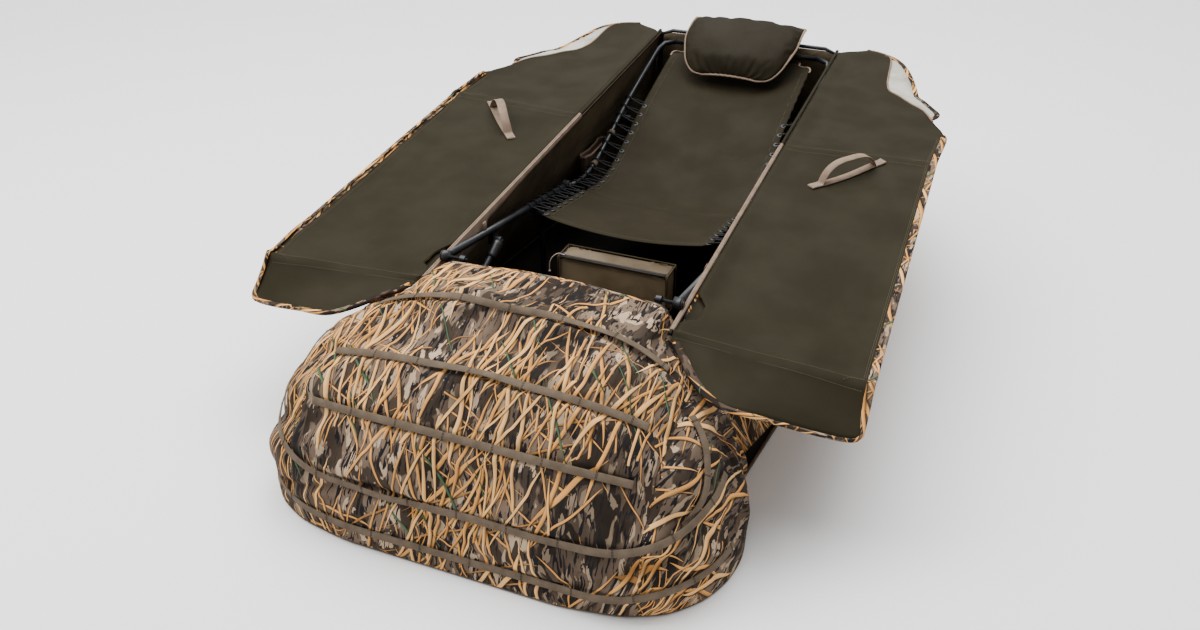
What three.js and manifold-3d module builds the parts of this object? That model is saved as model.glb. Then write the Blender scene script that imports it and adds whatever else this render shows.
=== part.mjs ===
// Layout field blind: a low ground blind that a person lies in. A folding tube frame carries a
// laced sling seat and back, a fabric body with a foot bag closes the sides, and two framed
// doors lie open on both sides. Millimetres, +Z up, +Y from the feet to the head, +X to the
// right-hand door as seen from the foot end.
import * as THREE from 'three';
import { mergeVertices } from 'three/addons/utils/BufferGeometryUtils.js';
import Module from 'manifold-3d';

const wasm = await Module();
wasm.setup();

// ---------- driving sizes ----------
const frameHalf = 290;        // half the spacing of the two side tubes
const railRadius = 9.5;       // seat rails
const backRadius = 8;         // back frame tubes
const legRadius = 8;          // legs and foot frame
const hoopRadius = 6.5;       // foot hoop and head hoop
const rodRadius = 5;          // rods in the doors
const hingeRodRadius = 4;     // rod that each door turns on
const seatLength = 703;       // hub to recline pivot, along Y
const backLength = 837;       // recline pivot to the top tube, along Y
const footLength = 555;       // hub to the front of the foot bag
const hubHeight = 400;        // axis of the hubs above the ground
const pivotHeight = 285;      // recline pivot above the ground
const backRise = 190;         // top tube above the recline pivot
const doorReach = 428;        // hinge line to the door's outer rod
const bagPerHub = 1.25;       // rise of the bag's top for each rise of the hubs
const bagLow = 60;            // what is taken off it
const bagPerFrame = 1.67;     // the same for the bag's half width and the frame's
const bagSpare = 50.7;
const bagHeight = bagPerHub * hubHeight - bagLow;          // top of the foot bag
const bagHalf = bagPerFrame * frameHalf + bagSpare;        // half the foot bag's greatest width
const sheetGap = 0.3;         // gap between faces that touch
const runGap = 1;             // gap between parts that turn past each other
const floorThickness = 3;
const wallThickness = 5;
const bagThickness = 8;
const doorThickness = 4;
const slingThickness = 4;
const lacingGap = 43;         // sling edge to the side tube
const lacingRadius = 2;
const eyeletPitch = 40;
const tubeSides = 12;

// ---------- sizes that follow ----------
const headEnd = seatLength + backLength;
const floorTop = floorThickness + sheetGap;
const hingeHalf = frameHalf + railRadius + hingeRodRadius + 1.5;
const hingeFoot = -97;
const hingeHead = headEnd + 10;
const hingeLow = hubHeight - 12;
const hingeHigh = pivotHeight + backRise + 31.4;
const slingHalf = frameHalf - railRadius - lacingGap;
const legHalf = frameHalf - 7 - runGap - 0.5 - legRadius;

const railHeight = (y) => hubHeight + (pivotHeight - hubHeight) * (y / seatLength);
const hingeHeight = (y) => hingeLow + (hingeHigh - hingeLow) * (y / hingeHead);

// side view of the back frame: share of its length, share of its rise
const backShape = [[0.03, -0.06], [0.115, -0.14], [0.24, -0.1], [0.37, 0.09], [0.54, 0.39],
  [0.74, 0.68], [1, 1]];
const backLine = new THREE.CatmullRomCurve3(backShape.map(([along, up]) => new THREE.Vector3(
  0, seatLength + along * backLength, pivotHeight + up * backRise)));
const backPoint = (t) => backLine.getPointAt(t);

// ---------- materials ----------
const finish = (color, roughness, metalness = 0) => new THREE.MeshStandardMaterial({
  color, roughness, metalness });
const tubeBlack = finish('#1b1d20', 0.45, 0.6);
const plasticBlack = finish('#121314', 0.5);
const oliveFabric = finish('#4a4435', 0.85);
const innerFabric = finish('#2f2a1f', 0.9);
const camoFabric = finish('#7a6247', 0.9);
const meshFabric = finish('#dedccf', 0.8);
const tanWebbing = finish('#9c8e80', 0.8);
const bungeeBlack = finish('#0d0d0e', 0.7);

// ---------- model ----------
const blind = new THREE.Group();
const sides = [['left', -1], ['right', 1]];

function add(name, geometry, material, parent = blind) {
  const mesh = new THREE.Mesh(geometry, material);
  mesh.name = name;
  parent.add(mesh);
  return mesh;
}

// ---------- shape helpers ----------
function closedGeometry(points, triangles) {
  const geometry = new THREE.BufferGeometry();
  geometry.setAttribute('position', new THREE.Float32BufferAttribute(points.flat(), 3));
  geometry.setIndex(triangles.flat());
  return geometry;
}

function toManifold(geometry) {
  const bare = geometry.clone();
  bare.deleteAttribute('normal');
  bare.deleteAttribute('uv');
  const merged = mergeVertices(bare, 1e-4);
  return new wasm.Manifold(new wasm.Mesh({ numProp: 3,
    vertProperties: new Float32Array(merged.attributes.position.array),
    triVerts: new Uint32Array(merged.index.array) }));
}

function fromManifold(solid) {
  const mesh = solid.getMesh();
  const geometry = new THREE.BufferGeometry();
  geometry.setAttribute('position', new THREE.BufferAttribute(mesh.vertProperties, 3));
  geometry.setIndex(new THREE.BufferAttribute(mesh.triVerts, 1));
  return geometry;
}

const joined = (...parts) => fromManifold(parts.map(toManifold).reduce((a, b) => a.add(b)));
const cut = (body, ...tools) => fromManifold(
  tools.map(toManifold).reduce((a, b) => a.subtract(b), toManifold(body)));

// a round bar between two points
function bar(from, to, radius, segments = tubeSides) {
  const a = new THREE.Vector3(...from);
  const b = new THREE.Vector3(...to);
  const along = b.clone().sub(a);
  const geometry = new THREE.CylinderGeometry(radius, radius, along.length(), segments);
  geometry.applyQuaternion(new THREE.Quaternion().setFromUnitVectors(
    new THREE.Vector3(0, 1, 0), along.clone().normalize()));
  geometry.translate(...a.add(b).multiplyScalar(0.5).toArray());
  return geometry;
}

// a tube that follows a curve
function bentTube(curve, radius, steps, segments = tubeSides) {
  const section = new THREE.Shape();
  section.absarc(0, 0, radius, 0, 2 * Math.PI);
  return new THREE.ExtrudeGeometry(section, { steps, curveSegments: segments / 2,
    bevelEnabled: false, extrudePath: curve });
}

// straight runs between corners, each corner rounded by the bend radius
function roundedPath(corners, bend) {
  const points = corners.map((c) => new THREE.Vector3(...c));
  const path = new THREE.CurvePath();
  let start = points[0];
  for (let i = 1; i < points.length - 1; i += 1) {
    const before = points[i].clone().sub(points[i - 1]).setLength(bend);
    const after = points[i + 1].clone().sub(points[i]).setLength(bend);
    const enter = points[i].clone().sub(before);
    const leave = points[i].clone().add(after);
    path.add(new THREE.LineCurve3(start, enter));
    path.add(new THREE.QuadraticBezierCurve3(enter, points[i], leave));
    start = leave;
  }
  path.add(new THREE.LineCurve3(start, points.at(-1)));
  return path;
}

// a box between two corners
function block(low, high) {
  const size = high.map((h, i) => h - low[i]);
  const geometry = new THREE.BoxGeometry(...size);
  geometry.translate(...high.map((h, i) => (h + low[i]) / 2));
  return geometry;
}

// a solid between two grids of points, closed round the edges. Rows that meet in one point leave
// out their empty triangles.
function closedSheet(upper, lower) {
  const points = [];
  const index = new Map();
  const number = (p) => {
    const key = p.map((c) => c.toFixed(3)).join();
    if (!index.has(key)) {
      index.set(key, points.length);
      points.push(p);
    }
    return index.get(key);
  };
  const outer = upper.map((row) => row.map(number));
  const inner = lower.map((row) => row.map(number));
  const triangles = [];
  const quad = (a, b, c, d) => {
    for (const t of [[a, b, c], [a, c, d]]) {
      if (new Set(t).size === 3) triangles.push(t);
    }
  };
  const lastRow = upper.length - 1;
  const lastColumn = upper[0].length - 1;
  for (let i = 0; i < lastRow; i += 1) {
    for (let j = 0; j < lastColumn; j += 1) {
      quad(outer[i][j], outer[i + 1][j], outer[i + 1][j + 1], outer[i][j + 1]);
      quad(inner[i][j], inner[i][j + 1], inner[i + 1][j + 1], inner[i + 1][j]);
    }
    quad(outer[i][0], inner[i][0], inner[i + 1][0], outer[i + 1][0]);
    quad(outer[i][lastColumn], outer[i + 1][lastColumn], inner[i + 1][lastColumn],
      inner[i][lastColumn]);
  }
  for (let j = 0; j < lastColumn; j += 1) {
    quad(outer[0][j], outer[0][j + 1], inner[0][j + 1], inner[0][j]);
    quad(outer[lastRow][j], inner[lastRow][j], inner[lastRow][j + 1], outer[lastRow][j + 1]);
  }
  return closedGeometry(points, triangles);
}

// a sheet: a grid of points and its copy moved against the normals, never lower than the floor
// sheet
function sheetSolid(grid, thickness) {
  const at = (i, j) => grid[Math.min(Math.max(i, 0), grid.length - 1)][
    Math.min(Math.max(j, 0), grid[0].length - 1)];
  const under = grid.map((row, i) => row.map((point, j) => {
    const u = at(i + 1, j).map((c, k) => c - at(i - 1, j)[k]);
    const v = at(i, j + 1).map((c, k) => c - at(i, j - 1)[k]);
    const normal = new THREE.Vector3(...u).cross(new THREE.Vector3(...v)).normalize();
    const moved = point.map((c, k) => c - thickness * normal.getComponent(k));
    moved[2] = Math.max(moved[2], floorTop);
    return moved;
  }));
  return closedSheet(grid, under);
}

// values between the entries of a list of [position, value, value, ...]
function along(stations, position) {
  const last = stations.length - 2;
  const k = Math.min(Math.max(stations.findIndex((s) => s[0] >= position) - 1, 0), last);
  const [a, b] = position > stations.at(-1)[0] ? stations.slice(-2) : [stations[k], stations[k + 1]];
  const share = Math.min(Math.max((position - a[0]) / (b[0] - a[0]), 0), 1);
  return a.slice(1).map((value, i) => value + share * (b[i + 1] - value));
}

const steps = (from, to, count) => Array.from({ length: count + 1 },
  (_, i) => from + ((to - from) * i) / count);

// ---------- seat rails, hubs and the rods that the doors turn on ----------
const hubRadius = 14;
const hubPinRadius = 4;
const hoopHalf = legHalf - legRadius - 14 - hoopRadius;
const hingePlate = 25;
const railStart = hubRadius + sheetGap;
const railEnd = seatLength - hingePlate;

for (const [side, s] of sides) {
  add(`seat_rail_${side}`, bar([s * frameHalf, railStart, railHeight(railStart)],
    [s * frameHalf, railEnd, railHeight(railEnd)], railRadius, 16), tubeBlack);

  // the hub: a capped boss on the rail's end, with the pin that the foot hoop turns on
  const outer = frameHalf + railRadius;
  const inner = frameHalf - railRadius;
  const pinEnd = hoopHalf - hoopRadius - 4;
  const profile = [[0, pinEnd], [hubPinRadius, pinEnd], [hubPinRadius, inner], [hubRadius, inner],
    [hubRadius, outer - 3], [hubRadius - 3, outer], [0, outer]];
  const hub = new THREE.LatheGeometry(profile.map((p) => new THREE.Vector2(...p)), 20);
  hub.rotateZ(-s * Math.PI / 2);
  hub.translate(0, 0, hubHeight);
  add(`hub_${side}`, hub, plasticBlack);

  add(`door_hinge_rod_${side}`, bar([s * hingeHalf, hingeFoot, hingeHeight(hingeFoot)],
    [s * hingeHalf, hingeHead, hingeHeight(hingeHead)], hingeRodRadius), tubeBlack);
}

// ---------- recline pivots ----------
const pivotRadius = 15;
const pinRadius = 5;
const pinHole = pinRadius + 0.4;
const backStart = backPoint(0);
const backTopBend = 45;

for (const [side, s] of sides) {
  const x = s * frameHalf;
  // cheek of each fitting: a disc on the pivot and an arm to the tube that it holds
  const cheek = (nearX, farX, toY, toZ) => {
    const [low, high] = [Math.min(nearX, farX), Math.max(nearX, farX)];
    const disc = bar([low, seatLength, pivotHeight], [high, seatLength, pivotHeight],
      pivotRadius, 24);
    const length = Math.hypot(toY - seatLength, toZ - pivotHeight);
    const arm = block([low, 0, -8], [high, length, 8]);
    arm.rotateX(Math.atan2(toZ - pivotHeight, toY - seatLength));
    arm.translate(0, seatLength, pivotHeight);
    const hole = bar([low - 1, seatLength, pivotHeight], [high + 1, seatLength, pivotHeight],
      pinHole, 20);
    return cut(joined(disc, arm), hole);
  };
  const middle = 0.25;
  add(`seat_hinge_${side}`, cheek(x + s * middle, x + s * railRadius,
    railEnd + 1.6, railHeight(railEnd)), plasticBlack);
  add(`back_hinge_${side}`, cheek(x - s * middle, x - s * railRadius,
    backStart.y - 4, backStart.z), plasticBlack);

  const headOut = frameHalf + railRadius + sheetGap;
  const headIn = frameHalf - railRadius - sheetGap;
  const profile = [[0, headIn - 4], [9, headIn - 4], [9, headIn], [pinRadius, headIn],
    [pinRadius, headOut], [9, headOut], [9, headOut + 4], [0, headOut + 4]];
  const pin = new THREE.LatheGeometry(profile.map((p) => new THREE.Vector2(...p)), 20);
  pin.rotateZ(-s * Math.PI / 2);
  pin.translate(0, seatLength, pivotHeight);
  add(`recline_pin_${side}`, pin, tubeBlack);
}

// ---------- back frame ----------
const backSideEnd = 0.94;
for (const [side, s] of sides) {
  const points = steps(0, backSideEnd, 9).map((t) => backPoint(t));
  const line = points.map((p) => new THREE.Vector3(s * frameHalf, p.y, p.z));
  const top = backPoint(1);
  line.push(new THREE.Vector3(s * (frameHalf - 9), top.y - 16, top.z - 5));
  line.push(new THREE.Vector3(s * (frameHalf - backTopBend), top.y, top.z));
  add(`back_tube_${side}`, bentTube(new THREE.CatmullRomCurve3(line), backRadius, 22, 10),
    tubeBlack);
}
const backTop = backPoint(1);
const topBarHalf = frameHalf - backTopBend - 4;
add('back_top_tube', bar([-topBarHalf, backTop.y, backTop.z], [topBarHalf, backTop.y, backTop.z],
  backRadius), tubeBlack);

// ---------- folding legs, foot frame and foot hoop ----------
const bracketDrop = 20;       // pivot below the tube's surface
const bracketHigh = 30;
const bracketHalf = 7;
const eyeHole = hubPinRadius + 0.4;

// a bracket under a side tube with a pin that points inward, in the tube's own direction
function bracket(name, s, y, z, tilt, tubeRadius, material = plasticBlack) {
  const top = -tubeRadius - sheetGap;
  const plate = block([frameHalf - bracketHalf, -13, top - bracketHigh],
    [frameHalf + bracketHalf, 13, top]);
  const pinAt = top - bracketDrop;
  const pin = bar([legHalf - legRadius - 3, 0, pinAt], [frameHalf, 0, pinAt], hubPinRadius, 16);
  const geometry = joined(plate, pin);
  if (s < 0) geometry.rotateZ(Math.PI);
  geometry.rotateX(tilt);
  const mesh = add(name, geometry, material);
  mesh.position.set(0, y, z);
  const reach = new THREE.Vector3(0, 0, pinAt).applyAxisAngle(new THREE.Vector3(1, 0, 0), tilt);
  return [y + reach.y, z + reach.z];
}

// the eye at a folding tube's end
const eye = (x, y, z, radius, half) => bar([x - half, y, z], [x + half, y, z], radius + 3, 20);
const eyeBore = (x, y, z, half) => bar([x - half - 1, y, z], [x + half + 1, y, z], eyeHole, 16);

const railTilt = Math.atan2(pivotHeight - hubHeight, seatLength);
const legBarHeight = floorTop + 0.3 + legRadius;

// one bent U with an eye at each end: side gives its [y, z] points from the pivot outward
function foldingU(name, half, radius, side, bend, stepCount) {
  const path = roundedPath([...side.map((p) => [-half, ...p]),
    ...side.slice().reverse().map((p) => [half, ...p])], bend);
  const tube = bentTube(path, radius, stepCount, 10);
  const eyes = [-half, half].map((x) => eye(x, ...side[0], radius, radius));
  const bores = [-half, half].map((x) => eyeBore(x, ...side[0], radius));
  add(name, cut(joined(tube, ...eyes), ...bores), tubeBlack);
}

// front leg under the seat
const frontLegY = 500;
let frontPivot;
for (const [side, s] of sides) {
  frontPivot = bracket(`front_leg_bracket_${side}`, s, frontLegY, railHeight(frontLegY),
    railTilt, railRadius);
}
foldingU('front_leg', legHalf, legRadius, [frontPivot, [frontPivot[0], legBarHeight]], 50, 28);

// rear leg under the back
const rearShare = 0.52;
const rearAt = backPoint(rearShare);
const rearAlong = backLine.getTangentAt(rearShare);
const rearTilt = Math.atan2(rearAlong.z, rearAlong.y);
let rearPivot;
for (const [side, s] of sides) {
  rearPivot = bracket(`rear_leg_bracket_${side}`, s, rearAt.y, rearAt.z, rearTilt, backRadius + 2);
}
foldingU('rear_leg', legHalf, legRadius, [rearPivot, [rearPivot[0], legBarHeight]], 50, 28);

// foot frame: from the seat rails forward and down to the ground inside the bag
const footFrameY = 240;
const footEnd = -(footLength - 155);
let footPivot;
for (const [side, s] of sides) {
  footPivot = bracket(`foot_frame_bracket_${side}`, s, footFrameY, railHeight(footFrameY),
    railTilt, railRadius);
}
const footDrop = 95;
const footBend = 60;
for (const [side, s] of sides) {
  const x = s * legHalf;
  const path = roundedPath([[x, ...footPivot], [x, footEnd + footDrop, 105],
    [x, footEnd, legBarHeight + 25]], footBend);
  const tube = bentTube(path, legRadius, 20, 10);
  const bore = eyeBore(x, ...footPivot, legRadius);
  add(`foot_tube_${side}`, cut(joined(tube, eye(x, ...footPivot, legRadius, legRadius)), bore),
    tubeBlack);
}
const crossPath = roundedPath([[-legHalf, footEnd - 1, legBarHeight + 24.4],
  [-legHalf, footEnd - 18, legBarHeight], [legHalf, footEnd - 18, legBarHeight],
  [legHalf, footEnd - 1, legBarHeight + 24.4]], 14);
const crossTube = bentTube(crossPath, legRadius, 42, 10);
const tubeSpace = sides.map(([, s]) => bar([s * legHalf, footEnd + 20, legBarHeight + 46],
  [s * legHalf, footEnd - 3, legBarHeight + 22], legRadius + 3));
add('foot_cross_tube', cut(crossTube, ...tubeSpace), tubeBlack);

// foot hoop: holds the top of the foot bag up
const hoopReach = 300;
const hoopDrop = 74;          // hoop axis below the top of the bag, at its end
const hoopDip = 86;           // and near the hubs
foldingU('foot_hoop', hoopHalf, hoopRadius, [[0, hubHeight], [-50, bagHeight - hoopDip],
  [-hoopReach, bagHeight - hoopDrop]], 30, 36);

// head hoop: stands at the head end and takes the ends of the door hinge rods
const headHoopY = hingeHead + sheetGap + hoopRadius;
const headHoopPath = roundedPath([[-hingeHalf, headHoopY, floorTop + 4],
  [-hingeHalf, headHoopY, hingeHeight(hingeHead)], [hingeHalf, headHoopY, hingeHeight(hingeHead)],
  [hingeHalf, headHoopY, floorTop + 4]], 30);
add('head_hoop', bentTube(headHoopPath, hoopRadius, 36, 8), tubeBlack);

// ---------- sling and lacing ----------
const slingEdgeDrop = 3;
const seatSag = 26;
const backSag = 22;
const seatFront = 415;
const slingSplit = 8;         // half the gap between seat and back at the pivot

function slingGrid(lineAt, shares, sag) {
  return shares.map((t) => steps(-1, 1, 6).map((u) => {
    const [y, z] = lineAt(t);
    return [u * slingHalf, y, z - slingEdgeDrop - sag * (1 - u * u)];
  }));
}
const seatSlingLine = (t) => {
  const y = seatFront + t * (seatLength - slingSplit - seatFront);
  return [y, railHeight(y)];
};
const backSlingEnd = 0.975;
const backSlingLine = (t) => {
  const p = backPoint(t * backSlingEnd);
  return [p.y, p.z];
};
add('seat_sling', sheetSolid(slingGrid(seatSlingLine, steps(1, 0, 4), seatSag), slingThickness),
  oliveFabric);
add('back_sling', sheetSolid(slingGrid(backSlingLine, steps(1, 0.0, 14), backSag),
  slingThickness), oliveFabric);

// elastic cord in a zigzag between the sling's edge and the tube
function lacing(name, s, places, tubeRadius) {
  const near = slingHalf + lacingRadius + 1.5;
  const far = frameHalf - tubeRadius - lacingRadius - 1;
  const points = [];
  places.forEach(([y, z], i) => {
    points.push([s * near, y, z]);
    if (i < places.length - 1) {
      const [nextY, nextZ] = places[i + 1];
      points.push([s * far, (y + nextY) / 2, (z + nextZ) / 2]);
    }
  });
  const runs = points.slice(1).map((point, i) => bar(points[i], point, lacingRadius, 6));
  add(name, joined(...runs), bungeeBlack);
}
const seatEyelets = Math.floor((seatLength - 60 - seatFront - 15) / eyeletPitch);
const backLineLength = backLine.getLength();
const backEyelets = 12;
for (const [side, s] of sides) {
  const seatPlaces = steps(0, seatEyelets, seatEyelets).map((i) => {
    const y = seatFront + 15 + i * eyeletPitch;
    return [y, railHeight(y) + 1];
  });
  lacing(`seat_lacing_${side}`, s, seatPlaces, railRadius);
  const backPlaces = steps(0, backEyelets - 1, backEyelets - 1).map((i) => {
    const p = backPoint((50 + i * eyeletPitch) / backLineLength);
    return [p.y, p.z + 1];
  });
  lacing(`back_lacing_${side}`, s, backPlaces, backRadius);
}

// ---------- pillow ----------
const pillowHalf = 188;
const pillowFootHalf = 150;
const pillowFoot = 185;       // lower edge, forward of the top tube
// rows from over the top tube down to the lower edge: [y, z] of the upper face, thickness
const pillowRows = [[52, 70, 20], [36, 88, 44], [5, 88, 50], [-50, 66, 46], [-110, 36, 48],
  [-168, -6, 20], [-pillowFoot, -24, 8]];
const pillowFace = (under) => pillowRows.map(([y, z, thick]) => {
  const widen = Math.min((y + pillowFoot) / 120, 1);
  const half = pillowFootHalf + (pillowHalf - pillowFootHalf) * widen;
  return [-1, -0.86, -0.4, 0.4, 0.86, 1].map((u) => {
    const edge = Math.abs(u) ** 12;
    return [half * u, backTop.y + y, backTop.z + z - 26 * edge
      - (under ? thick * (1 - 0.9 * edge) : 0)];
  });
});
add('pillow', closedSheet(pillowFace(false), pillowFace(true)), oliveFabric);

// ---------- storage pouch under the seat's front edge, and its zip slider ----------
const pouchHalf = 155;
const pouchDeep = 78;
const pouchBack = seatFront - 8;
const pouchTop = railHeight(seatFront) - seatSag - 36;
const pouchHigh = 128;
add('storage_pouch', block([-pouchHalf, pouchBack - pouchDeep, pouchTop - pouchHigh],
  [pouchHalf, pouchBack, pouchTop]), oliveFabric);
const sliderWide = 9;
const zipTravel = 2 * pouchHalf - 40;
const slider = joined(
  block([-pouchHalf + 8, pouchBack - pouchDeep + 2, pouchTop + sheetGap],
    [-pouchHalf + 8 + 14, pouchBack - pouchDeep + 2 + sliderWide, pouchTop + 5]),
  block([-pouchHalf + 12, pouchBack - pouchDeep - 12, pouchTop + 2],
    [-pouchHalf + 18, pouchBack - pouchDeep + 6, pouchTop + 4]));
add('zip_slider', slider, plasticBlack);

// ---------- fabric body ----------
// half width on the ground behind the foot bag, tied to the places along the frame
const bodyStations = [[-25, bagHalf - 95], [200, bagHalf - 45], [seatLength - 100, bagHalf - 45],
  [seatLength + 300, bagHalf - 85], [headEnd + 30, bagHalf - 155]];
const bodyHalf = (y) => along(bodyStations, y)[0];
const wallTopDrop = 30;
const wallFoot = -25;
const wallHead = headHoopY + hoopRadius + 4;
const wallTopX = hingeHalf + hoopRadius + wallThickness + 1.5;
for (const [side, s] of sides) {
  const rows = steps(wallFoot, wallHead, 9).map((y) => {
    const topZ = hingeHeight(y) - wallTopDrop;
    return steps(0, 1, 2).map((v) => [s * (wallTopX + (bodyHalf(y) - wallTopX) * v), y,
      topZ + (floorTop - topZ) * v]);
  });
  if (s > 0) rows.reverse();
  add(`side_wall_${side}`, sheetSolid(rows, wallThickness), camoFabric);

  // pocket that hangs beside the back tube, open at the top
  const pocketY = seatLength + 195;
  const pocketLong = 180;
  const pocketLow = pivotHeight - 130;
  const pocketHigh = 138;
  const pocketIn = frameHalf + backRadius + 7;
  const pocketDeep = 38;
  const shell = block([pocketIn, pocketY, pocketLow],
    [pocketIn + pocketDeep, pocketY + pocketLong, pocketLow + pocketHigh]);
  const hollow = block([pocketIn + 4, pocketY + 4, pocketLow + 4],
    [pocketIn + pocketDeep - 4, pocketY + pocketLong - 4, pocketLow + pocketHigh + 10]);
  const pocket = cut(shell, hollow);
  if (s < 0) pocket.applyMatrix4(new THREE.Matrix4().makeRotationZ(Math.PI));
  if (s < 0) pocket.translate(0, 2 * pocketY + pocketLong, 0);
  add(`side_pocket_${side}`, pocket, innerFabric);
}
const headWallY = wallHead + wallThickness + 1.5;
const headWallRows = [[hingeHalf - 10, hingeHeight(hingeHead) - 14], [hingeHalf + 20, 240],
  [bodyHalf(wallHead) - 6, floorTop]].map(([half, z]) => steps(-1, 1, 4).map((u) => [
  u * half, headWallY, z]));
add('head_wall', sheetSolid(headWallRows.reverse(), wallThickness), camoFabric);

// ---------- foot bag: an arched hollow shell, open towards the seat ----------
const bagOpening = -35;
const bagWidest = -300;
const bagCrown = -150;
const bagFront = -footLength;
function bagSection(y) {
  const narrow = bagHalf - 105;
  const widen = Math.min((bagOpening - y) / (bagOpening - bagWidest), 1);
  const past = Math.max((bagWidest - y) / (bagWidest - bagFront), 0);
  const half = (narrow + (bagHalf - narrow) * Math.sin((widen * Math.PI) / 2))
    * Math.max(1 - past * past, 0) ** 0.2;
  const down = Math.max((bagCrown - y) / (bagCrown - bagFront), 0);
  const rise = Math.min((bagOpening - y) / (bagOpening - bagCrown), 1);
  const high = (bagHeight - 18 * (1 - rise)) * Math.max(1 - down * down, 0) ** 0.35;
  return [half, high, 2.8 - 0.25 * Math.sin(Math.PI * widen)];
}
const bagPlaces = [bagOpening, ...[0.16, 0.27, 0.4, 0.54, 0.67, 0.775, 0.865, 0.93, 0.97, 0.99, 1]
  .map((share) => share * bagFront)];
const bagColumns = 14;
const bagGrid = bagPlaces.map((y) => {
  const [half, high, power] = bagSection(y);
  return steps(0, Math.PI, bagColumns).map((angle) => {
    const round = (value) => Math.sign(value) * Math.abs(value) ** (2 / power);
    return [half * round(Math.cos(angle)) || 0, y,
      floorTop + (high - floorTop) * Math.abs(round(Math.sin(angle)))];
  });
});
bagGrid.forEach((row) => {
  row[0][2] = floorTop;
  row.at(-1)[2] = floorTop;
});
bagGrid[bagGrid.length - 1] = bagGrid.at(-1).map(() => [0, bagFront, floorTop]);
add('foot_bag', sheetSolid(bagGrid.reverse(), bagThickness), camoFabric);

// ---------- floor sheet ----------
const floorMargin = 12;
const floorOutline = [];
const floorFront = bagFront - floorMargin;
floorOutline.push([bagSection(bagFront + 3)[0], floorFront]);
for (const share of [0.965, 0.9, 0.79, 0.67, 0.54, 0.36, 0.16]) {
  const y = share * bagFront;
  floorOutline.push([bagSection(y)[0] + floorMargin, y - floorMargin * share ** 4]);
}
for (const y of [200, seatLength - 100, seatLength + 300, headWallY + floorMargin]) {
  floorOutline.push([bodyHalf(y) + floorMargin, y]);
}
const floorShape = new THREE.Shape([...floorOutline.map(([x, y]) => new THREE.Vector2(x, y)),
  ...floorOutline.slice().reverse().map(([x, y]) => new THREE.Vector2(-x, y))]);
add('floor_sheet', new THREE.ExtrudeGeometry(floorShape, { depth: floorThickness,
  bevelEnabled: false }), innerFabric);

// ---------- doors ----------
const frontRibY = hingeFoot + 2;
const rearRibY = seatLength + 130;
const cornerY = seatLength + 342;
const doorOuter = hingeHalf + doorReach;
const frontOuterZ = hingeHeight(frontRibY) - 24;
const rearOuterZ = hingeHeight(rearRibY) + 12;
const hem = 8;                // panel past the outer rod
const panelInner = hingeHalf + hingeRodRadius + 2;
const flapReach = 80;
const flapDrop = 68;
const peakReach = 50;         // panel past the top tube
const rearPull = 20;          // outer rod's head end stands in towards the hinge line
// the panel's inner edge stands back round the hub, so that the door can close over it
const hubNotch = [[-50, 0], [-20, 40], [32, 40], [85, 0]];
const edgeShare = (y) => (y - frontRibY) / (rearRibY + 4 - frontRibY);
const edgeX = (y) => doorOuter + hem - rearPull * edgeShare(y);
const edgeZ = (y) => frontOuterZ + (rearOuterZ - frontOuterZ) * edgeShare(y);
// [y inner, x inner, z inner, y outer, x outer, z outer] of the panel's upper face, foot to head
const plane = (y) => hingeHeight(y);
const panelStations = [
  [frontRibY - flapReach + 26, panelInner + 45, plane(frontRibY) + 4,
    frontRibY - flapReach, doorOuter + hem, frontOuterZ - flapDrop],
  [frontRibY, panelInner, plane(frontRibY), frontRibY, doorOuter + hem, frontOuterZ],
  ...hubNotch.map(([y, inward]) => [y, panelInner + inward, plane(y), y, edgeX(y), edgeZ(y)]),
  [seatLength / 2, panelInner, plane(seatLength / 2), seatLength / 2,
    edgeX(seatLength / 2), edgeZ(seatLength / 2)],
  [rearRibY, panelInner, plane(rearRibY), rearRibY + 4, doorOuter + hem - rearPull, rearOuterZ],
  [cornerY, panelInner, plane(cornerY), cornerY, doorOuter - rearPull, plane(cornerY)],
  [cornerY + 40, panelInner, plane(cornerY + 40), cornerY + 40, doorOuter - 35,
    plane(cornerY + 40)],
  [headEnd - 330, panelInner, plane(headEnd - 330), headEnd - 335, hingeHalf + 330,
    plane(headEnd - 335)],
  [headEnd - 240, panelInner, plane(headEnd - 240), headEnd - 243, hingeHalf + 203,
    plane(headEnd - 243)],
  [headEnd - 120, panelInner, plane(headEnd - 120), headEnd - 120, hingeHalf + 186,
    plane(headEnd - 120) + 2],
  [headEnd - 20, panelInner, plane(headEnd - 20), headEnd + 4, hingeHalf + 172,
    plane(headEnd) + 2],
  [headEnd + 16, hingeHalf + 26, plane(headEnd + 16), headEnd + 34, hingeHalf + 138,
    plane(headEnd + 34) + 3],
  [headEnd + peakReach - 12, hingeHalf + 46, plane(headEnd + peakReach), headEnd + peakReach,
    hingeHalf + 98, plane(headEnd + peakReach) + 3],
];
function panelHeight(x, y) {
  const [xi, zi, , xo, zo] = along(panelStations, y);
  return zi + ((zo - zi) * (x - xi)) / (xo - xi);
}
const windowOutline = [[headEnd - 234, hingeHalf + 210], [headEnd - 120, hingeHalf + 193],
  [headEnd + 4, hingeHalf + 179], [headEnd - 60, hingeHalf + 216],
  [headEnd - 240, hingeHalf + 300], [headEnd - 327, hingeHalf + 345]];
const rodDrop = doorThickness + sheetGap + rodRadius + 1;
const handleLong = 118;       // half the length of the strip
const handleLift = 2.2;       // strip above the panel, which bends a little under it
const handleTurn = Math.atan2(178, 155);
const handleAt = [hingeHalf + 205, seatLength + 27];

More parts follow.
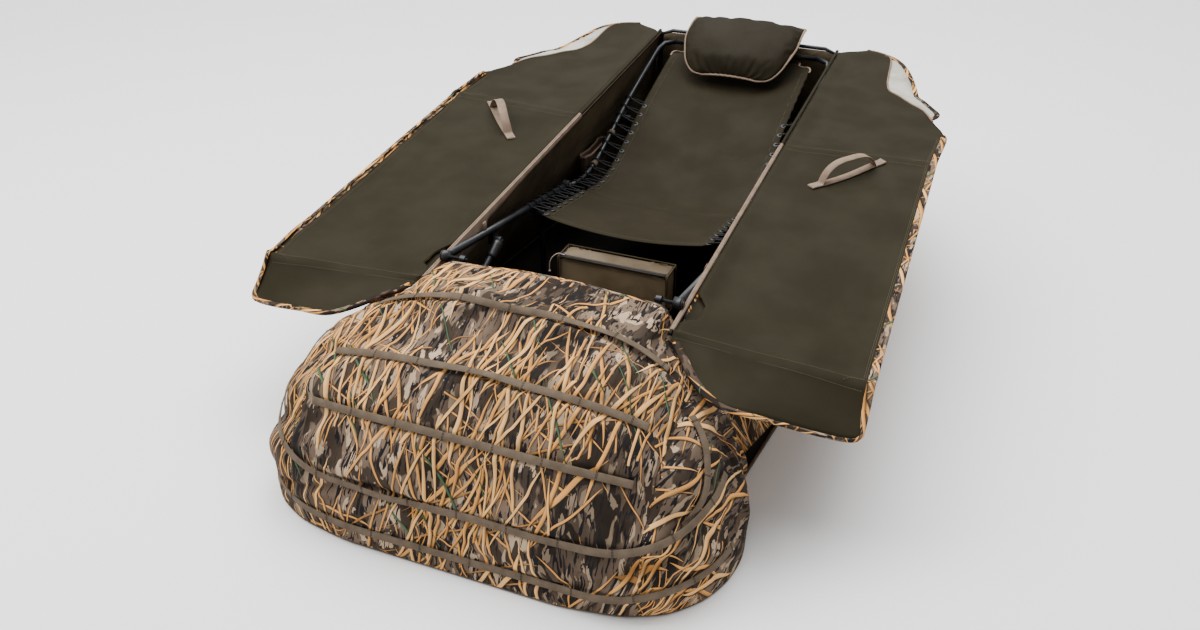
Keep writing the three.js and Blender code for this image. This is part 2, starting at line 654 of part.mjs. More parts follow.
// a flat strip with an arched loop over its middle, both of webbing
function handleGeometry() {
  const width = 25;
  const strip = 2;
  const band = 3;
  const loopHalf = 84;
  const loopHigh = 50;
  const arch = (half, high, foot) => steps(1, -1, 14).map((u) => new THREE.Vector2(
    half * u, foot + high * (1 - Math.abs(u) ** 2.4)));
  const outline = new THREE.Shape([new THREE.Vector2(-handleLong, 0),
    new THREE.Vector2(handleLong, 0), new THREE.Vector2(handleLong, strip),
    ...arch(loopHalf, loopHigh, strip), new THREE.Vector2(-handleLong, strip)]);
  outline.holes.push(new THREE.Path(arch(loopHalf - band - 2, loopHigh - band,
    strip - 0.4)));
  const geometry = new THREE.ExtrudeGeometry(outline, { depth: width, bevelEnabled: false });
  geometry.rotateX(Math.PI / 2);
  geometry.translate(0, width / 2, 0);
  return geometry;
}

for (const [side, s] of sides) {
  const grid = panelStations.map(([yi, xi, zi, yo, xo, zo]) => steps(0, 1, 3).map((u) => [
    s * (xi + (xo - xi) * u), yi + (yo - yi) * u, zi + (zo - zi) * u]));
  if (s > 0) grid.reverse();
  add(`door_panel_${side}`, sheetSolid(grid, doorThickness), oliveFabric);

  const window = new THREE.Shape(windowOutline.map(([y, x]) => new THREE.Vector2(x, y)));
  const netting = new THREE.ExtrudeGeometry(window, { depth: 3, bevelEnabled: false });
  if (s < 0) {
    netting.rotateY(Math.PI);
    netting.translate(0, 0, 3);
  }
  netting.applyMatrix4(new THREE.Matrix4().makeShear(0, 0, 0, (hingeHigh - hingeLow) / hingeHead,
    0, 0));
  netting.translate(0, 0, hingeLow - 3);
  add(`mesh_window_${side}`, netting, meshFabric);

  const rod = (name, from, to) => add(`${name}_${side}`, bar([s * from[0], from[1],
    from[2] - rodDrop], [s * to[0], to[1], to[2] - rodDrop], rodRadius, 10), tubeBlack);
  const rootX = panelInner + 6;
  const frontCorner = [doorOuter, frontRibY, frontOuterZ];
  const rearCorner = [doorOuter - rearPull, rearRibY + 4, rearOuterZ];
  rod('door_front_rib', [rootX, frontRibY + 6, plane(frontRibY)],
    [doorOuter - rodRadius - 1, frontRibY + 6, frontOuterZ]);
  rod('door_edge_rod', frontCorner, rearCorner);
  rod('door_rear_rib', [rootX, rearRibY, plane(rearRibY)],
    [doorOuter - rearPull - rodRadius - 1, rearRibY, rearOuterZ]);

  const handle = add(`door_handle_${side}`, handleGeometry(), tanWebbing);
  const [x, y] = handleAt;
  handle.rotation.set(Math.atan2(panelHeight(x, y + 50) - panelHeight(x, y - 50), 100),
    -s * Math.atan2(panelHeight(x + 50, y) - panelHeight(x - 50, y), 100),
    s > 0 ? handleTurn : Math.PI - handleTurn);
  handle.position.set(s * x, y, panelHeight(x, y) + handleLift);
}

// the origin is under the middle of the whole blind
const lengthMiddle = (headEnd + peakReach + floorFront) / 2;
blind.position.set(0, -lengthMiddle, 0);

export default blind;
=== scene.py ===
import math

import bmesh
import bpy
import numpy as np
from mathutils import Matrix, Vector, noise
from mathutils.bvhtree import BVHTree


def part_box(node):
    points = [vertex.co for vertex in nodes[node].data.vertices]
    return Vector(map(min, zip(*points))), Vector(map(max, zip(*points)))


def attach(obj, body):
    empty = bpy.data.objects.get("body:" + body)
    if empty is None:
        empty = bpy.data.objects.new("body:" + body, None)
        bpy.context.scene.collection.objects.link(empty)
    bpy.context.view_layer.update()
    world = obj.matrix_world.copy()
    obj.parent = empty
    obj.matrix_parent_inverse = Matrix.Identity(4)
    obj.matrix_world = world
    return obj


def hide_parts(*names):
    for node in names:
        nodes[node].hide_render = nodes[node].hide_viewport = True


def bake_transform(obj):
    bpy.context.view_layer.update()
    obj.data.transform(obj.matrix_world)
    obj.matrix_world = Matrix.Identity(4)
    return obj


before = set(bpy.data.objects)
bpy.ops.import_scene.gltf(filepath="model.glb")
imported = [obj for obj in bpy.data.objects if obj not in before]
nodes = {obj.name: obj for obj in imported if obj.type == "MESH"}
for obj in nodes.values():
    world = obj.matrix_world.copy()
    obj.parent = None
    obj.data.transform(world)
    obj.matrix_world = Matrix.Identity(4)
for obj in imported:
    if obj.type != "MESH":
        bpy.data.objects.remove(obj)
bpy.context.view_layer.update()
scene = bpy.context.scene
sides = (("left", -1), ("right", 1))


# places on the frame, all from the CAD
def middle(name):
    low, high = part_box(name)
    return (low + high) / 2


hub = middle("hub_right")
hubY = hub.y                      # y in the notes below counts from here
pivot = middle("recline_pin_right")
topBar = middle("back_top_tube")
tubeX = middle("seat_rail_right").x
hingeX = middle("door_hinge_rod_right").x
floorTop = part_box("floor_sheet")[1].z


def at(x, y, z):
    return Vector((x, hubY + y, z))


def shares(s, count):             # 0 to 1, turned round on the left so that both sides face the same way
    return np.linspace(0, 1, count)[::s]


def treeOf(piece):
    mesh = piece.data
    return BVHTree.FromPolygons([v.co for v in mesh.vertices], [tuple(p.vertices) for p in mesh.polygons])


def heightOn(tree, x, y, default=0.0):
    hit = tree.ray_cast(at(x, y, 2), Vector((0, 0, -1)))[0]
    return default if hit is None else hit.z


rodLow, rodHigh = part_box("door_hinge_rod_right")
rodRise = (rodHigh.z - rodLow.z - 0.008) / (rodHigh.y - rodLow.y)


def hingeZ(y):
    return rodLow.z + 0.004 + rodRise * (hubY + y - rodLow.y)


backTree = treeOf(nodes["back_tube_right"])
pivotOut = pivot.y - hubY
topOut = topBar.y - hubY


def tubeZ(y):                     # middle of the side tube at y
    if y <= pivotOut:
        return hub.z + (pivot.z - hub.z) * y / pivotOut
    up = backTree.ray_cast(at(tubeX, y, 0.1), Vector((0, 0, 1)))[0]
    down = backTree.ray_cast(at(tubeX, y, 1.0), Vector((0, 0, -1)))[0]
    if up is None:
        return pivot.z - 0.011 if y < 0.8 else topBar.z - 0.005
    return (up.z + down.z) / 2


def soft(value, low, high):
    t = min(max((value - low) / (high - low), 0), 1)
    return t * t * (3 - 2 * t)


def bump(value, centre, width):
    return math.exp(-(((value - centre) / width) ** 2))


def rough(x, y, z=0.0, scale=1.0):
    return noise.noise(Vector((x * scale, y * scale, z * scale)))


# shader nodes
def put(tree, kind, values=None, **settings):
    made = tree.nodes.new(kind)
    for key, value in settings.items():
        setattr(made, key, value)
    for key, value in (values or {}).items():
        value = getattr(value, "socket", value)
        if isinstance(value, bpy.types.NodeSocket):
            tree.links.new(value, made.inputs[key])
        else:
            made.inputs[key].default_value = value
    return made


class Wire:                       # a node's output that can be reckoned with
    def __init__(self, tree, socket):
        self.tree, self.socket = tree, socket

    def math(self, operation, *others):
        return self.between(operation, self, *others)

    def between(self, operation, *values):
        made = put(self.tree, "ShaderNodeMath", dict(enumerate(values)), operation=operation)
        return Wire(self.tree, made.outputs[0])

    def __add__(self, other):
        return self.math("ADD", other)

    def __sub__(self, other):
        return self.math("SUBTRACT", other)

    def __rsub__(self, other):
        return self.between("SUBTRACT", other, self)

    def __mul__(self, other):
        return self.math("MULTIPLY", other)

    def __truediv__(self, other):
        return self.math("DIVIDE", other)

    def __pow__(self, other):
        return self.math("POWER", other)

    def size(self):
        return self.math("ABSOLUTE")


def vectors(tree, operation, values):
    return put(tree, "ShaderNodeVectorMath", values, operation=operation).outputs[0]


def clouds(tree, vector, scale, detail=2.0, warp=0.0, output=0):
    made = put(tree, "ShaderNodeTexNoise", {"Vector": vector, "Scale": scale, "Detail": detail, "Distortion": warp})
    return Wire(tree, made.outputs[output])


def apart(tree, vector):
    return [Wire(tree, socket) for socket in put(tree, "ShaderNodeSeparateXYZ", {0: vector}).outputs]


def chances(tree, *seeds):        # four random values from up to three seeds
    spot = put(tree, "ShaderNodeCombineXYZ", dict(enumerate(seeds))).outputs[0]
    made = put(tree, "ShaderNodeTexWhiteNoise", {"Vector": spot}, noise_dimensions="3D").outputs
    return [Wire(tree, socket) for socket in (made[0], *put(tree, "ShaderNodeSeparateColor", {0: made[1]}).outputs)]


def blendColor(tree, share, a, b, mode="MIX"):
    made = put(tree, "ShaderNodeMix", {0: share, 6: a, 7: b}, data_type="RGBA", blend_type=mode)
    return Wire(tree, made.outputs[2])


def grey(tree, value):
    return put(tree, "ShaderNodeCombineColor", {0: value, 1: value, 2: value}).outputs[0]


def spread(value, low, high, outLow=0.0, outHigh=1.0):
    made = put(value.tree, "ShaderNodeMapRange", {0: value, 1: low, 2: high, 3: outLow, 4: outHigh},
               interpolation_type="SMOOTHSTEP")
    return Wire(value.tree, made.outputs[0])


floatKind, colorKind, vectorKind = "NodeSocketFloat", "NodeSocketColor", "NodeSocketVector"


def startGroup(name, inputs, outputs):
    group = bpy.data.node_groups.new(name, "ShaderNodeTree")
    for label, value in inputs.items():
        kind = vectorKind if value is None else colorKind if isinstance(value, tuple) else floatKind
        socket = group.interface.new_socket(label, in_out="INPUT", socket_type=kind)
        if value is not None:
            socket.default_value = value
    for label in outputs:
        group.interface.new_socket(label, in_out="OUTPUT", socket_type=colorKind if label == "Color" else floatKind)
    given = {socket.name: Wire(group, socket) for socket in group.nodes.new("NodeGroupInput").outputs}
    ends = group.nodes.new("NodeGroupOutput").inputs

    def send(**results):
        for label, wire in results.items():
            group.links.new(wire.socket, ends[label])
    return group, given, send


def weaveGroup():                 # plain weave: crossing threads with a little unevenness
    group, given, send = startGroup("wovenThreads", {"Vector": None, "Threads": 900.0, "Unevenness": 0.3},
                                    ("Height", "Tone"))
    spot = given["Vector"]
    shift = (clouds(group, spot, 60.0) - 0.5) * given["Unevenness"] * 20.0
    waves = [(part * given["Threads"] + shift).math("SINE") for part in apart(group, spot)[:2]]
    both = waves[0] * waves[1]
    mottle = spread(clouds(group, spot, 7.0, 4.0), 0.25, 0.75)
    # the tone is lighter where the crossing threads stand highest, a painted highlight on the thread crests, with a
    # random mottle
    send(Height=spread(both, -1.0, 1.0), Tone=both * 0.12 + mottle)
    return group


def creaseGroup():                # soft folds and small wrinkles of handled cloth
    group, given, send = startGroup("clothCreases", {"Vector": None, "Scale": 6.0, "Sharpness": 0.5}, ("Height",))
    fold = (clouds(group, given["Vector"], given["Scale"], warp=1.2) - 0.5).size()
    ridge = (1.0 - fold * 2.0) ** 6.0
    fine = clouds(group, given["Vector"], given["Scale"] * 4.0, 3.0)
    send(Height=ridge * given["Sharpness"] + fine * 0.35)
    return group


def bladeGroup():                 # one layer of dry blades laid over what is under it
    group, given, send = startGroup("reedBlades", {
        "Vector": None, "Under": (0.0, 0.0, 0.0, 1), "Light": (0.6, 0.4, 0.2, 1), "Dark": (0.25, 0.15, 0.07, 1),
        "Turn": 0.0, "Cell": 0.03, "Length": 0.3, "Blade": 0.1, "Share": 0.6, "Lean": 0.8, "Seed": 0.0},
        ("Color", "Height"))
    turned = put(group, "ShaderNodeVectorRotate", {"Vector": given["Vector"], "Angle": given["Turn"]},
                 rotation_type="Z_AXIS").outputs[0]
    sway = vectors(group, "ADD", {0: clouds(group, turned, 5.0, 1.0, output=1), 1: (-0.5, -0.5, -0.5)})
    turned = vectors(group, "ADD", {0: turned, 1: vectors(group, "SCALE", {0: sway, 3: 0.05})})
    parts = apart(group, turned)
    across = parts[0] / given["Cell"]
    column = across.math("FLOOR")
    along = parts[1] / given["Length"] + chances(group, column, given["Seed"])[0] * 7.0
    row = along.math("FLOOR")
    run = along - row
    chance, first, second, third = chances(group, column, row, given["Seed"])[:4]
    centre = (second - 0.5) * 0.4 + (first - 0.5) * given["Lean"] * (run - 0.5)
    taper = 1.0 - (run * 2.0 - 1.0).size() ** 3.0
    half = given["Blade"] * taper * (third * 0.8 + 0.5)
    off = (across - column - 0.5 - centre) / half.math("MAXIMUM", 0.001)
    there = chance.math("LESS_THAN", given["Share"])
    mask = spread(off.size(), 1.12, 0.88) * there
    shade = spread((off - 0.5).size(), 2.3, 1.0) * there
    fibre = clouds(group, vectors(group, "MULTIPLY", {0: turned, 1: (420.0, 14.0, 1.0)}), 1.0)
    light = off * 0.35 + (first * 0.5 + fibre * 0.55)
    blade = blendColor(group, spread(light, 0.15, 1.0), given["Light"], given["Dark"])
    under = blendColor(group, shade * 0.75, given["Under"], (0.012, 0.009, 0.007, 1))
    send(Color=blendColor(group, mask, under, blade), Height=mask)
    return group


def barkGroup():                  # blotched bark with dark fissures that run along the trunk
    group, given, send = startGroup("barkBlotches", {"Vector": None, "Size": 1.0}, ("Color",))
    spot = vectors(group, "SCALE", {0: given["Vector"], 3: given["Size"]})

    def blotches(stretch, detail, warp, *limits):
        return spread(clouds(group, vectors(group, "MULTIPLY", {0: spot, 1: stretch}), 1.0, detail, warp), *limits)
    ground = blendColor(group, blotches((26, 12, 5), 2.0, 0.4, 0.47, 0.51), (0.034, 0.024, 0.017, 1),
                        (0.115, 0.080, 0.056, 1))
    ground = blendColor(group, blotches((45, 19, 9), 2.0, 0.5, 0.565, 0.585), ground, (0.31, 0.225, 0.150, 1))
    trunk = blotches((7, 1.2, 3), 1.0, 0.2, 0.30, 0.62, 0.35, 1.15)
    ground = blendColor(group, 1.0, ground, grey(group, trunk), "MULTIPLY")
    cracks = blotches((105, 21, 12), 2.5, 1.3, 0.552, 0.572)
    send(Color=blendColor(group, cracks, ground, (0.010, 0.009, 0.010, 1)))
    return group


weave, creases, blades, bark = weaveGroup(), creaseGroup(), bladeGroup(), barkGroup()


def use(tree, group, **values):
    made = put(tree, "ShaderNodeGroup", values, node_tree=group)
    return {socket.name: Wire(tree, socket) for socket in made.outputs}


def newMaterial(name, roughness=0.8, specular=0.5, metallic=0.0, cloth=True):
    # cloth takes its pattern from the piece's own cloth map in metres, the rest from its place in metres
    material = bpy.data.materials.new(name)
    material.use_nodes = True
    tree = material.node_tree
    shader = tree.nodes["Principled BSDF"]
    for label, value in (("Roughness", roughness), ("Metallic", metallic), ("Specular IOR Level", specular)):
        shader.inputs[label].default_value = value
    spot = put(tree, "ShaderNodeTexCoord").outputs["UV" if cloth else "Object"]

    def dye(color, *bumps, gloss=None):
        tree.links.new(color.socket, shader.inputs["Base Color"])
        if gloss:
            tree.links.new(gloss.socket, shader.inputs["Roughness"])
        normal = None
        for height, distance, strength in bumps:
            made = put(tree, "ShaderNodeBump", {"Height": height, "Distance": distance, "Strength": strength})
            if normal:
                tree.links.new(normal, made.inputs["Normal"])
            normal = made.outputs[0]
        tree.links.new(normal, shader.inputs["Normal"])
        return material
    return tree, shader, spot, dye


def clothMaterial(name, color, lighter, threads=2600.0, roughness=0.72, crease=0.5, scale=5.0, specular=0.1,
                  depth=0.00035):
    tree, _, spot, dye = newMaterial(name, roughness, specular)
    woven = use(tree, weave, Vector=spot, Threads=threads)
    fold = use(tree, creases, Vector=spot, Scale=scale, Sharpness=crease)["Height"]
    tone = blendColor(tree, woven["Tone"], (*color, 1), (*lighter, 1))
    # the fold crests are made lighter: painted highlight
    tone = blendColor(tree, spread(fold, 0.35, 0.9) * 0.25, tone, (*lighter, 1))
    return dye(tone, (fold, 0.004, 0.35), (woven["Height"], depth, 0.6),
               gloss=spread(woven["Tone"], 0.0, 1.0, roughness + 0.06, roughness - 0.06))


def camoMaterial():
    tree, _, spot, dye = newMaterial("reedAndBark", 0.8, 0.08)
    color = use(tree, bark, Vector=spot, Size=1.0)["Color"]
    thick = spread(clouds(tree, spot, 2.6, 1.0), 0.36, 0.62) * 1.05 + 0.22
    straw, husk = (0.56, 0.265, 0.075, 1), (0.140, 0.062, 0.018, 1)
    pale, tan = (0.64, 0.37, 0.145, 1), (0.30, 0.140, 0.042, 1)
    green, darkGreen = (0.05, 0.10, 0.05, 1), (0.015, 0.03, 0.015, 1)
    layers = [  # turn in degrees, cell, length, blade width as a share, share shown, lean, light, dark
        (68, 0.030, 0.17, 0.060, 0.30, 0.9, straw, husk), (-58, 0.034, 0.20, 0.060, 0.32, 0.9, tan, husk),
        (24, 0.026, 0.22, 0.115, 0.50, 1.2, straw, husk), (-33, 0.030, 0.24, 0.100, 0.50, 1.2, straw, tan),
        (-9, 0.022, 0.26, 0.150, 0.54, 1.2, straw, husk), (41, 0.040, 0.20, 0.045, 0.34, 1.0, green, darkGreen),
        (8, 0.034, 0.30, 0.115, 0.54, 1.3, pale, tan), (-19, 0.044, 0.22, 0.085, 0.48, 1.1, pale, straw)]
    for i, (turn, cell, length, blade, share, lean, light, dark) in enumerate(layers):
        color = use(tree, blades, Vector=spot, Under=color, Light=light, Dark=dark, Turn=math.radians(turn),
                    Cell=cell, Length=length, Blade=blade, Share=thick * share, Lean=lean,
                    Seed=float(i * 3 + 1))["Color"]
    woven = use(tree, weave, Vector=spot, Threads=2200.0)
    fold = use(tree, creases, Vector=spot, Scale=7.0, Sharpness=0.5)["Height"]
    threads = grey(tree, spread(woven["Tone"], 0.0, 1.0, 1.12, 1.38))
    return dye(blendColor(tree, 1.0, color, threads, "MULTIPLY"), (fold, 0.005, 0.4), (woven["Height"], 0.0004, 0.5))


def webbingMaterial(name, color, lighter):
    tree, _, spot, dye = newMaterial(name, 0.75, 0.1)
    parts = apart(tree, spot)
    ribs = (parts[0] * 3600.0).math("SINE")
    picks = (parts[1] * 2400.0 + ribs * 1.2).math("SINE")
    height = spread(ribs * picks, -1.0, 1.0)
    # lighter on the raised ribs, a painted highlight, and in random patches
    ribHighlightAndMottle = height * 0.3 + clouds(tree, spot, 30.0, 4.0)
    return dye(blendColor(tree, spread(ribHighlightAndMottle, 0.35, 0.95), (*color, 1), (*lighter, 1)), (height, 0.0005, 0.7))


def hardMaterial(name, color, roughness, specular=0.5, metallic=0.0, grain=0.0002, coat=0.0):
    tree, shader, spot, dye = newMaterial(name, roughness, specular, metallic, cloth=False)
    shader.inputs["Coat Weight"].default_value = coat
    shader.inputs["Coat Roughness"].default_value = 0.25
    smear = clouds(tree, spot, 18.0, 4.0)
    lighter = tuple(min(1, c * 1.9 + 0.004) for c in color)
    return dye(blendColor(tree, spread(smear, 0.4, 0.75), (*color, 1), (*lighter, 1)),
               (clouds(tree, spot, 450.0, 3.0), grain, 0.5),
               gloss=spread(smear, 0.3, 0.7, roughness - 0.08, roughness + 0.1))


looks = {
    "olive": clothMaterial("oliveCloth", (0.0160, 0.0128, 0.0054), (0.0198, 0.0160, 0.0070), crease=0.25,
                           scale=2.5, roughness=0.66, specular=0.09),
    "sling": clothMaterial("slingCloth", (0.0165, 0.0128, 0.0058), (0.0205, 0.0160, 0.0074), crease=0.2,
                           scale=2.5, roughness=0.66, specular=0.09),
    "pad": clothMaterial("pillowCloth", (0.0120, 0.0085, 0.0030), (0.0155, 0.0112, 0.0042), crease=0.3, scale=9.0,
                         roughness=0.6, specular=0.10),
    "lining": clothMaterial("darkLining", (0.008, 0.007, 0.005), (0.016, 0.013, 0.009), crease=0.9, scale=9.0),
    "wallLining": clothMaterial("brownLining", (0.060, 0.045, 0.027), (0.120, 0.090, 0.054), crease=1.0, scale=9.0),
    # floor cloth made near black so that the inside of the cot reads as dark: painted shade
    "floor": clothMaterial("floorClothPaintedShade", (0.006, 0.005, 0.004), (0.010, 0.008, 0.006), crease=0.6, scale=5.0),
    "binding": clothMaterial("oliveBinding", (0.052, 0.040, 0.021), (0.075, 0.058, 0.032), crease=0.3, scale=20.0),
    "pocket": clothMaterial("brownPocket", (0.045, 0.030, 0.020), (0.07, 0.048, 0.032), crease=0.8, scale=16.0),
    "netting": clothMaterial("netting", (0.30, 0.285, 0.235), (0.62, 0.60, 0.52), threads=1300.0, crease=0.9,
                             scale=14.0, depth=0.001),
    # the ribbed pouch cloth is lighter than its own tan to make up for the shade on the pouch's front and sides:
    # partly its own colour, partly painted light
    "ribbed": clothMaterial("ribbedPouchPaintedLight", (0.17, 0.120, 0.066), (0.30, 0.22, 0.13), threads=1500.0, crease=0.2,
                            depth=0.0012),
    "pouchTop": clothMaterial("ripstopTop", (0.075, 0.055, 0.034), (0.175, 0.135, 0.088), threads=1100.0,
                              crease=0.3, depth=0.001),
    "camo": camoMaterial(),
    "webbing": webbingMaterial("tanWebbing", (0.185, 0.130, 0.092), (0.29, 0.210, 0.153)),
    "strap": webbingMaterial("strapWebbing", (0.090, 0.066, 0.045), (0.155, 0.116, 0.082)),
    "oliveThread": clothMaterial("oliveThread", (0.09, 0.075, 0.045), (0.13, 0.11, 0.07)),
    "paleThread": clothMaterial("paleThread", (0.42, 0.34, 0.27), (0.55, 0.46, 0.38)),
    "darkThread": clothMaterial("darkThread", (0.02, 0.016, 0.012), (0.03, 0.025, 0.02)),
    "tube": hardMaterial("coatedTube", (0.0045, 0.0055, 0.0072), 0.40, 0.4, coat=0.06),
    "plastic": hardMaterial("blackPlastic", (0.008, 0.008, 0.009), 0.42, 0.5),
    "cord": hardMaterial("elasticCord", (0.006, 0.006, 0.007), 0.7, 0.3, grain=0.0006),
    "ring": hardMaterial("eyeletMetal", (0.075, 0.075, 0.08), 0.34, 0.5, 0.6),
}
print("materials ready")


# mesh helpers
def link(name, data):
    piece = bpy.data.objects.new(name, data)
    scene.collection.objects.link(piece)
    return piece


def newPiece(name, points, faces, look, uvs=None, smooth=True):
    mesh = bpy.data.meshes.new(name)
    mesh.from_pydata([tuple(p) for p in points], [], faces)
    if uvs is not None:
        layer = mesh.uv_layers.new(name="cloth")
        for loop in mesh.loops:
            layer.data[loop.index].uv = uvs[loop.vertex_index]
    for entry in (look if isinstance(look, (list, tuple)) else [look]):
        mesh.materials.append(looks[entry])
    mesh.update()
    if smooth:
        mesh.shade_smooth()
    return link(name, mesh)


def runs(points):                 # how far along the line each point lies
    far = [0.0]
    for a, b in zip(points, points[1:]):
        far.append(far[-1] + (Vector(b) - Vector(a)).length)
    return far


def gridPiece(name, rows, look, uvShift=(0, 0)):     # rows of points; the cloth map follows their lengths
    count = len(rows[0])
    down = runs([row[count // 2] for row in rows])
    points, uvs = [], []
    for i, row in enumerate(rows):
        across = runs(row)
        half = across[-1] / 2
        for j, p in enumerate(row):
            points.append(p)
            uvs.append((across[j] - half + uvShift[0], down[i] + uvShift[1]))
    faces = [(i * count + j, i * count + j + 1, (i + 1) * count + j + 1, (i + 1) * count + j)
             for i in range(len(rows) - 1) for j in range(count - 1)]
    return newPiece(name, points, faces, look, uvs)


def plain(piece):                 # modifiers turned into the mesh itself
    now = bpy.context.evaluated_depsgraph_get()
    mesh = bpy.data.meshes.new_from_object(piece.evaluated_get(now))
    piece.modifiers.clear()
    old = piece.data
    piece.data = mesh
    bpy.data.meshes.remove(old)
    return piece


def sweep(name, path, section, look, sideOf=None, closedPath=False, closedSection=True):
    # a cross-section of (across, up) points swept along a path; sideOf(i) gives the across direction
    path = [Vector(p) for p in path]
    count, points, uvs, run = len(path), [], [], 0.0
    lengths = [0.0]
    for a, b in zip(section, section[1:] + section[:1]):
        lengths.append(lengths[-1] + math.hypot(b[0] - a[0], b[1] - a[1]))
    for i, p in enumerate(path):
        before = path[i - 1] if i or closedPath else p
        after = path[(i + 1) % count] if i < count - 1 or closedPath else p
        ahead = (after - before).normalized()
        side = Vector(sideOf(i)) if sideOf else ahead.cross(Vector((0, 0, 1)))
        side = (side - ahead * side.dot(ahead)).normalized()
        up = side.cross(ahead)
        run += (p - path[i - 1]).length if i else 0
        for k, (a, b) in enumerate(section):
            points.append(p + side * a + up * b)
            uvs.append((lengths[k], run))
    n = len(section)
    last = n if closedSection else n - 1
    spans = count if closedPath else count - 1
    faces = [(i * n + k, i * n + (k + 1) % n, ((i + 1) % count) * n + (k + 1) % n, ((i + 1) % count) * n + k)
             for i in range(spans) for k in range(last)]
    if closedSection and not closedPath:
        faces += [tuple(range(n - 1, -1, -1)), tuple((count - 1) * n + k for k in range(n))]
    return turnOut(newPiece(name, points, faces, look, uvs))


def turnOut(piece, weld=0.0, fillBelow=None, outward=True):
    # points that meet are joined, holes low down are closed, and faces look outwards
    made = bmesh.new()
    made.from_mesh(piece.data)
    if weld:
        bmesh.ops.remove_doubles(made, verts=made.verts, dist=weld)
    if fillBelow is not None:
        low = [e for e in made.edges if e.is_boundary and e.verts[0].co.z < fillBelow]
        bmesh.ops.holes_fill(made, edges=low)
    if outward:
        bmesh.ops.recalc_face_normals(made, faces=made.faces)
    made.to_mesh(piece.data)
    made.free()
    return piece


def strapSection(width, thickness):
    w, t, r = width / 2, thickness, thickness * 0.35
    return [(-w, r), (-w + r, 0), (w - r, 0), (w, r), (w, t - r), (w - r, t), (-w + r, t), (-w, t - r)]


def roundSection(radius, sides=12):
    return [(radius * math.cos(2 * math.pi * k / sides), radius * math.sin(2 * math.pi * k / sides))
            for k in range(sides)]


def smoothLine(points, perSpan=8):
    # an even curve through given points
    points = [Vector(p) for p in points]
    line = []
    for i in range(len(points) - 1):
        a, b, c, d = points[max(i - 1, 0)], points[i], points[i + 1], points[min(i + 2, len(points) - 1)]
        for k in range(perSpan):
            t = k / perSpan
            line.append(0.5 * ((2 * b) + (c - a) * t + (2 * a - 5 * b + 4 * c - d) * t * t
                               + (3 * b - a - 3 * c + d) * t ** 3))
    return line + [points[-1]]


def evenly(points, step):
    points = [Vector(p) for p in points]
    out, left = [points[0].copy()], step
    for a, b in zip(points, points[1:]):
        length = (b - a).length
        while length > left:
            a = a + (b - a) * (left / length)
            out.append(a.copy())
            length = (b - a).length
            left = step
        left -= length
    return out


def joinPieces(name, pieces):
    made = bmesh.new()
    for p in pieces:
        if p.modifiers:
            plain(p)
    mesh = bpy.data.meshes.new(name)
    looksUsed = []
    for p in pieces:
        start = len(made.faces)
        made.from_mesh(p.data)
        made.faces.ensure_lookup_table()
        for face in made.faces[start:]:
            material = p.data.materials[face.material_index]
            if material not in looksUsed:
                looksUsed.append(material)
            face.material_index = looksUsed.index(material)
    made.to_mesh(mesh)
    made.free()
    for material in looksUsed:
        mesh.materials.append(material)
    for p in pieces:
        bpy.data.objects.remove(p)
    return link(name, mesh)


def ball(name, radius, look, place):
    made = bmesh.new()
    bmesh.ops.create_icosphere(made, subdivisions=2, radius=radius)
    for v in made.verts:
        v.co = place(v.co)
    mesh = bpy.data.meshes.new(name)
    made.to_mesh(mesh)
    made.free()
    mesh.materials.append(looks[look])
    mesh.shade_smooth()
    return link(name, mesh)


def thicken(piece, thickness, offset=-1.0, inside=0):
    made = piece.modifiers.new("cloth thickness", "SOLIDIFY")
    made.thickness = thickness
    made.offset = offset
    made.use_even_offset = False
    made.material_offset = inside


def dress(piece, body, slotName, *stands, cloth=None, fine=False):
    # the finished mesh, then the body that it rides on and the CAD nodes that it stands for
    if fine:
        finer = piece.modifiers.new("finer", "SUBSURF")
        finer.levels = finer.render_levels = 1
    if cloth:
        thicken(piece, *cloth)
    if piece.modifiers:
        plain(piece)
    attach(piece, body)
    if stands:
        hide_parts(*stands)
    return piece


# geometry nodes: small things repeated along a line
def repeat(name, sizes, plan):
    # plan gives the places, the small part, the way that it points and whether it is shaded smoothly
    tree = bpy.data.node_groups.new(name, "GeometryNodeTree")
    tree.interface.new_socket("Geometry", in_out="INPUT", socket_type="NodeSocketGeometry")
    for label, value in sizes.items():
        tree.interface.new_socket(label, in_out="INPUT", socket_type=floatKind).default_value = value
    tree.interface.new_socket("Look", in_out="INPUT", socket_type="NodeSocketMaterial")
    tree.interface.new_socket("Geometry", in_out="OUTPUT", socket_type="NodeSocketGeometry")
    given, out = tree.nodes.new("NodeGroupInput").outputs, tree.nodes.new("NodeGroupOutput").inputs
    points, part, ahead, smooth = plan(tree, given)
    turned = put(tree, "FunctionNodeAlignRotationToVector", {"Vector": ahead}, axis="Z").outputs[0]
    made = put(tree, "GeometryNodeInstanceOnPoints", {"Points": points, "Instance": part, "Rotation": turned})
    made = put(tree, "GeometryNodeRealizeInstances", {0: made.outputs[0]})
    if smooth:
        made = put(tree, "GeometryNodeSetShadeSmooth", {0: made.outputs[0]})
    made = put(tree, "GeometryNodeSetMaterial", {0: made.outputs[0], "Material": given["Look"]})
    tree.links.new(made.outputs[0], out[0])
    return tree


def stitchPlan(tree, given):
    line = put(tree, "GeometryNodeMeshToCurve", {0: given["Geometry"]})
    step = put(tree, "ShaderNodeMath", {0: given["Stitch"], 1: given["Gap"]}, operation="ADD").outputs[0]
    points = put(tree, "GeometryNodeCurveToPoints", {0: line.outputs[0], "Length": step}, mode="LENGTH").outputs
    thread = put(tree, "GeometryNodeMeshCylinder", {"Vertices": 6, "Radius": given["Thread"],
                 "Depth": given["Stitch"]})
    return points[0], thread.outputs[0], points["Tangent"], False


